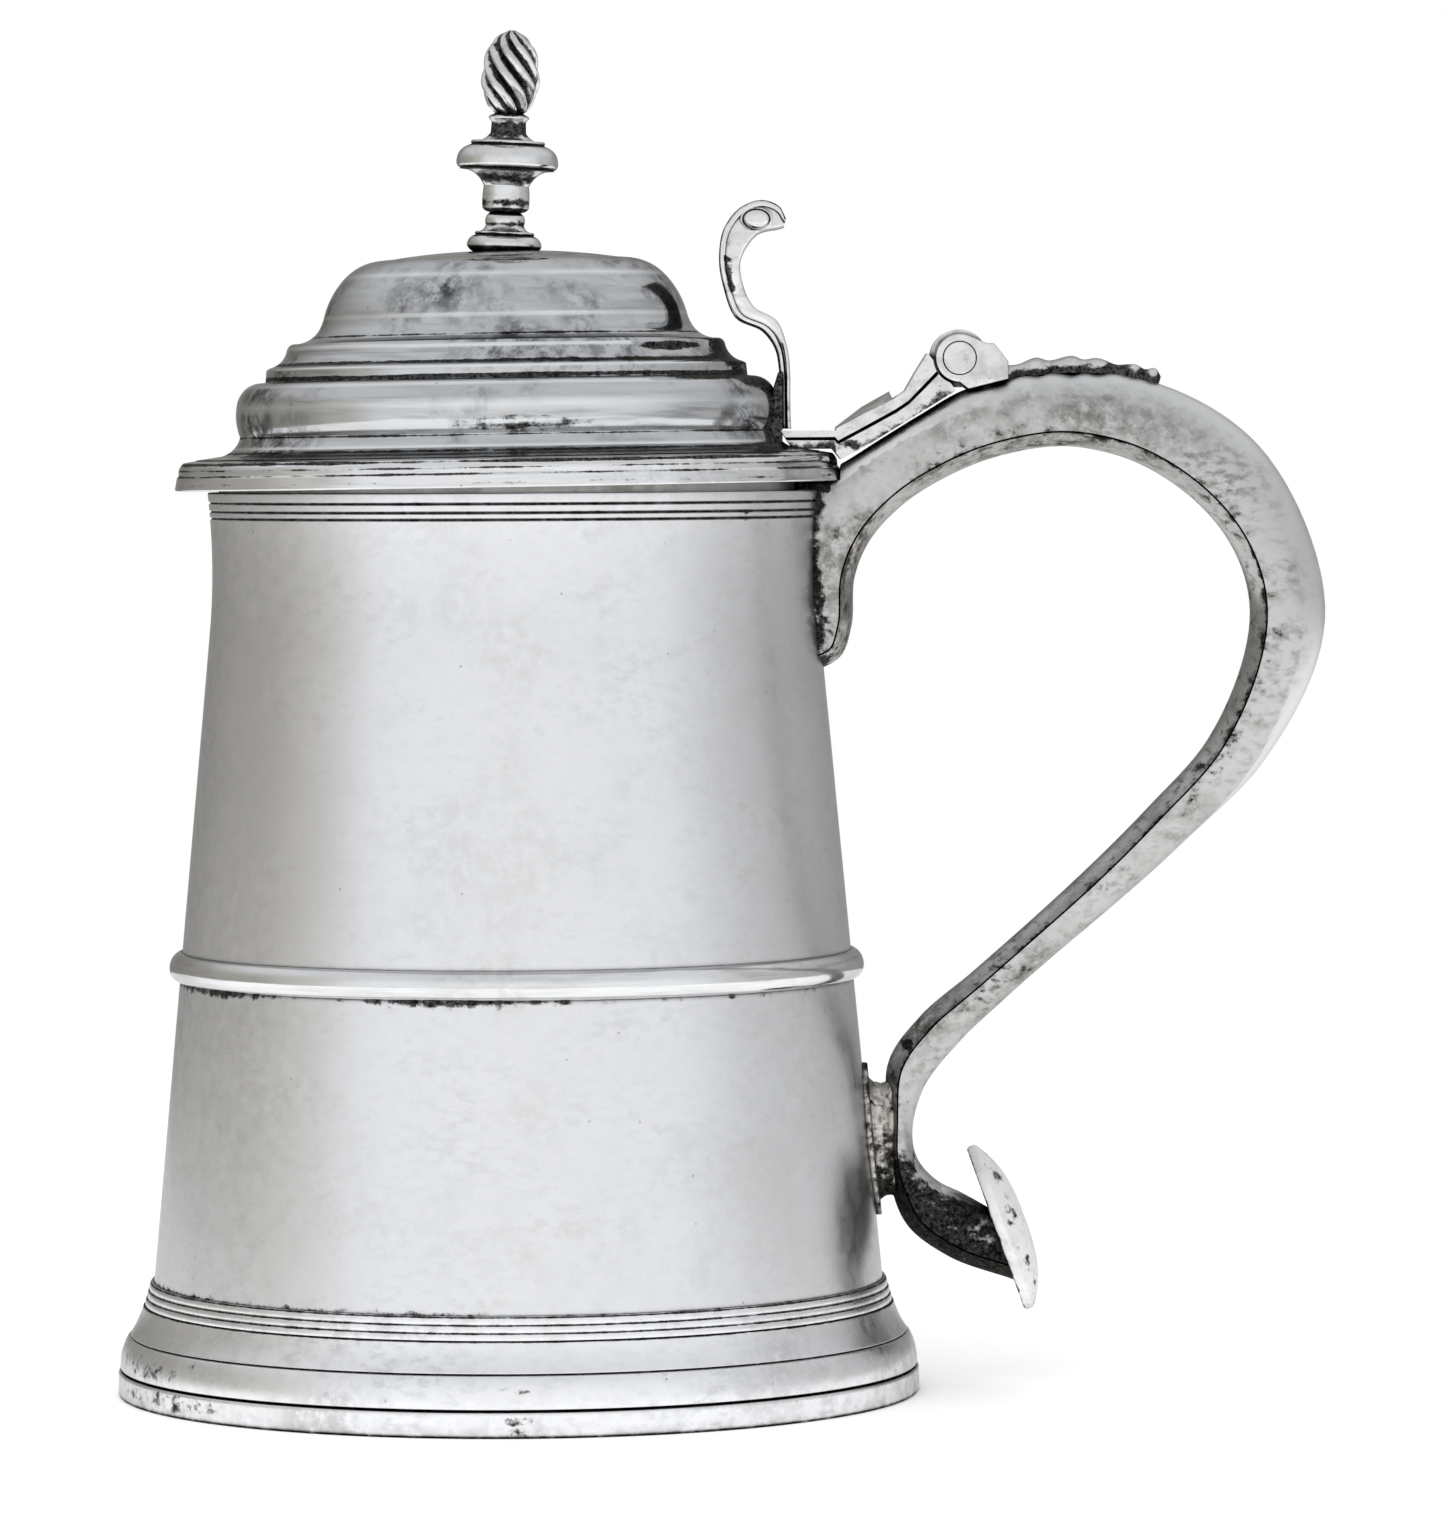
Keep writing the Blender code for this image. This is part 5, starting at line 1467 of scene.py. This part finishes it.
def make_thumbpiece():
    """Cast scroll with fluted sides and an oval volute on each side of its curled top."""
    foot_x, foot_z = thumb_foot()
    sections = smooth(THUMB_ROWS, THUMB_STEPS)
    quarter = np.linspace(0, math.pi / 2, CORNER_STEPS + 1)
    rings = []
    for front_x, front_z, back_x, back_z, width in sections:
        front, back = Vector((front_x, front_z)), Vector((back_x, back_z))
        across = (back - front).normalized()
        inset = across * THUMB_EDGE
        half = width / 2
        narrow = half - THUMB_EDGE
        edge = [(front, 0.0), (front, narrow)]
        for angle in quarter[1:]:
            edge.append((front + inset * (1 - math.cos(angle)), narrow + THUMB_EDGE * math.sin(angle)))
        border = min(2 * THUMB_EDGE, THUMB_BORDER_SHARE * (back - front).length)
        edge.append((front + across * border, half))
        edge.append((front + across * (border + THUMB_EDGE / 4), half - THUMB_FLUTE))
        for angle in quarter[::-1]:
            edge.append((back - inset * (1 - math.cos(angle)), narrow + THUMB_EDGE * math.sin(angle)))
        edge.append((back, 0.0))
        ring = [(foot_x + p.x, side, foot_z + p.y) for p, side in edge]
        ring += [(foot_x + p.x, -side, foot_z + p.y) for p, side in edge[-2:0:-1]]
        rings.append(ring)
    scroll = loft("thumbpiece", rings)
    face = [(share, VOLUTE_WIDTH / 2 - depth) for share, depth in VOLUTE_FACE]
    profile = face + [(1.0, 0.0)] + [(share, -y) for share, y in face[::-1]]
    volute = turned("volute", profile, steps=SMALL_STEPS, ring=False)
    half_x, half_z = VOLUTE_HALF_SIZE
    volute.transform(Matrix.Diagonal((half_x, 1.0, half_z, 1.0)) @ ALONG_PIN)
    volute.transform(placed(foot_x + VOLUTE_CENTRE[0], foot_z + VOLUTE_CENTRE[1]))
    fillet = [(foot_x - SOLDER_RUN, foot_z - PLATE_TONGUE), (foot_x + SEAM, foot_z - PLATE_TONGUE)]
    fillet += [(foot_x + SEAM, foot_z + SOLDER_RISE), (foot_x - SEAM, foot_z + SOLDER_RISE)]
    solder = prism("solder", fillet, SOLDER_WIDTH, BROKEN_EDGE)
    mesh = joined(scroll, volute, solder)

    spine = np.array(sections)[:, 0:2] + (foot_x, foot_z)

    def lid_side(x, y, z):
        height = z - foot_z
        beside = x < foot_x - SEAM or abs(y) > THUMB_ROWS[0][4] / 2
        if beside and height < SOLDER_RISE + SEAM:
            return SOLDER_SOOT
        front = np.sqrt(np.min(np.sum((spine - (x, z)) ** 2, axis=1)))
        share = THUMB_FRONT_SOOT * fade(front, THUMB_FRONT_REACH)
        if THUMB_GROOVE[0] < front < THUMB_GROOVE[1] and abs(y) > THUMB_FLANK:
            black = THUMB_BLACK[0] < height < THUMB_BLACK[1]
            share = max(share, 1.0 if black else THUMB_GROOVE_SOOT * patchy(x, 0.0, z, size=3.0))
        return max(share, THUMB_FOOT_SOOT * fade(height, THUMB_FOOT_REACH) * patchy(x, y, z))

    set_piece("thumbpiece", mesh, "lid", ON_HINGE, CAST, lid_side)


def make_finial():
    """Turned baluster on the crown, and the twisted flame that stands on it."""
    profile = arcs(BALUSTER_ROWS)
    profile = [Vector((0.0, profile[-1].y))] + profile[::-1] + [Vector((0.0, profile[0].y - EMBED))]
    profile = dense(eased(profile, FINIAL_EASE), FINIAL_ROW)
    mesh = turned("finial_baluster", profile, CAST, SMALL_STEPS, ring=False)

    def in_mouldings(x, y, z):
        line = max(share * fade(z - height, half) for height, half, share in FINIAL_LINES)
        return line * between(FINIAL_PATCHES, around(x, y, patches=3, height=z, layer=7.0))

    set_piece("finial_baluster", mesh, "lid", ON_CROWN, CAST, in_mouldings)
    foot = BALUSTER_ROWS[-1][1]
    heights, widths = zip(*smooth(FLAME_ROWS))
    profile = [(width, height * FLAME_HEIGHT) for height, width in zip(heights, widths)]
    mesh = turned(
        "finial_flame",
        [(0.0, 0.0)] + profile + [(0.0, FLAME_HEIGHT)],
        CAST,
        2 * SMALL_STEPS,
        ring=False,
        lobes=FLAME_LOBES,
        lobe_depth=FLAME_GROOVE,
        twist_per_metre=FLAME_TWIST / (FLAME_HEIGHT * MM),
    )

    def in_grooves(x, y, z):
        full = np.interp(z / FLAME_HEIGHT, heights, widths)
        return FLAME_SOOT * (1 - math.hypot(x, y) / full) / FLAME_GROOVE if z > 0 else 1.0

    set_piece("finial_flame", mesh, "lid", ON_CROWN @ placed(z=foot), CAST, in_grooves)


# Studio and camera


def make_floor():
    """White table that keeps the shadow under the foot."""
    mesh = bpy.data.meshes.new("table")
    low, high = -TABLE_HALF, TABLE_HALF
    corners = [(low, low, 0.0), (high, low, 0.0), (high, high, 0.0), (low, high, 0.0)]
    mesh.from_pydata(corners, [], [(0, 1, 2, 3)])
    material = bpy.data.materials.new("matt white paper")
    material.use_nodes = True
    shader = material.node_tree.nodes["Principled BSDF"]
    shader.inputs["Base Color"].default_value = linear("#f7f7f7")
    shader.inputs["Roughness"].default_value = 1.0
    shader.inputs["Specular IOR Level"].default_value = 0.0
    shader.inputs["Emission Color"].default_value = linear(WHITE)
    shader.inputs["Emission Strength"].default_value = TABLE_GLOW
    mesh.materials.append(material)
    floor = bpy.data.objects.new("table", mesh)
    bpy.context.collection.objects.link(floor)


def make_tent():
    """Light tent: bright in front, falling to grey at the sides, behind and overhead; only metal sees it."""
    mesh = bpy.data.meshes.new("light tent")
    bm = bmesh.new()
    bmesh.ops.create_uvsphere(bm, u_segments=64, v_segments=32, radius=TENT_RADIUS)
    bmesh.ops.reverse_faces(bm, faces=bm.faces)
    bm.to_mesh(mesh)
    bm.free()
    material = bpy.data.materials.new("tent cloth, lit from the front")
    material.use_nodes = True
    tree = material.node_tree
    tree.nodes.remove(tree.nodes["Principled BSDF"])
    place = add(tree, "ShaderNodeTexCoord").outputs["Object"]
    unit = add(tree, "ShaderNodeVectorMath", (place,), operation="NORMALIZE")
    parts = add(tree, "ShaderNodeSeparateXYZ", (unit,)).outputs
    # The angle is 0 behind the object and half a turn in front of it
    turn = add(tree, MATH, (parts["X"], parts["Y"]), operation="ARCTAN2")
    share = add(tree, RANGE, (turn, -math.pi, math.pi))
    level = add(tree, "ShaderNodeValToRGB", (share,))
    ramp = level.color_ramp
    ramp.interpolation = "EASE"
    while len(ramp.elements) < len(AROUND):
        ramp.elements.new(0.5)
    for element, (at, code) in zip(ramp.elements, AROUND):
        element.position = at
        element.color = linear(code)
    height = add(tree, RANGE, (parts["Z"], *OVERHEAD_FROM), **SOFT)
    colours = {FACTOR: height, FIRST: level, SECOND: linear(OVERHEAD)}
    both = add(tree, MIX, colours, data_type="RGBA").outputs[MIXED]
    glow = add(tree, "ShaderNodeEmission", {"Color": both, "Strength": 1.0})
    tree.links.new(glow.outputs[0], tree.nodes["Material Output"].inputs["Surface"])
    mesh.materials.append(material)
    tent = bpy.data.objects.new("light tent", mesh)
    bpy.context.collection.objects.link(tent)
    tent.location = (AXIS_X * MM, 0.0, TENT_HEIGHT)
    for rays in ("camera", "diffuse", "shadow", "transmission", "volume_scatter"):
        setattr(tent, "visible_" + rays, False)


def make_lamp():
    """A square soft lamp in front, which metal doesn't see."""
    lamp = bpy.data.lights.new("front lamp", "AREA")
    lamp.shape = "SQUARE"
    lamp.size = LAMP_SIZE
    lamp.energy = LAMP_WATTS
    holder = bpy.data.objects.new("front lamp", lamp)
    bpy.context.collection.objects.link(holder)
    holder.location = LAMP_PLACE
    holder.rotation_euler = (Vector(LAMP_AIM) - Vector(LAMP_PLACE)).to_track_quat("-Z", "Y").to_euler()
    holder.visible_glossy = False


def make_world():
    """White all round for the camera and for metal; a little softer as a lamp."""
    world = bpy.data.worlds.new("white studio")
    bpy.context.scene.world = world
    world.use_nodes = True
    tree = world.node_tree
    path = add(tree, "ShaderNodeLightPath").outputs
    seen = add(tree, MATH, (path["Is Camera Ray"], path["Is Glossy Ray"]), **LARGER)
    seen = add(tree, MATH, (seen, path["Is Transmission Ray"]), **LARGER)
    level = add(tree, RANGE, (seen, 0.0, 1.0, WORLD_AS_LAMP, 1.0))
    background = tree.nodes["Background"]
    background.inputs["Color"].default_value = linear(WHITE)
    tree.links.new(level.outputs["Result"], background.inputs["Strength"])


def make_camera():
    """Long lens in front, a little above the middle and looking slightly down."""
    camera = bpy.data.cameras.new("camera")
    camera.sensor_fit = "HORIZONTAL"
    camera.sensor_width = SENSOR_WIDTH
    camera.lens = LENS
    holder = bpy.data.objects.new("camera", camera)
    bpy.context.collection.objects.link(holder)
    holder.location = CAMERA_PLACE
    tilt = Matrix.Rotation(math.radians(90 - CAMERA_DOWN), 4, "X")
    roll = Matrix.Rotation(math.radians(CAMERA_ROLL), 4, "Z")
    holder.rotation_euler = (tilt @ roll).to_euler()
    bpy.context.scene.camera = holder


handle = handle_stations()
make_barrel()
make_mouldings()
make_handle(handle)
make_strut(handle)
make_terminal(handle[-1])
make_bracket()
make_drop(handle)
make_lid()
make_hinge_plate()
make_thumbpiece()
make_finial()
make_floor()
make_tent()
make_lamp()
make_world()
make_camera()

view = bpy.context.scene.view_settings
view.view_transform = "Standard"
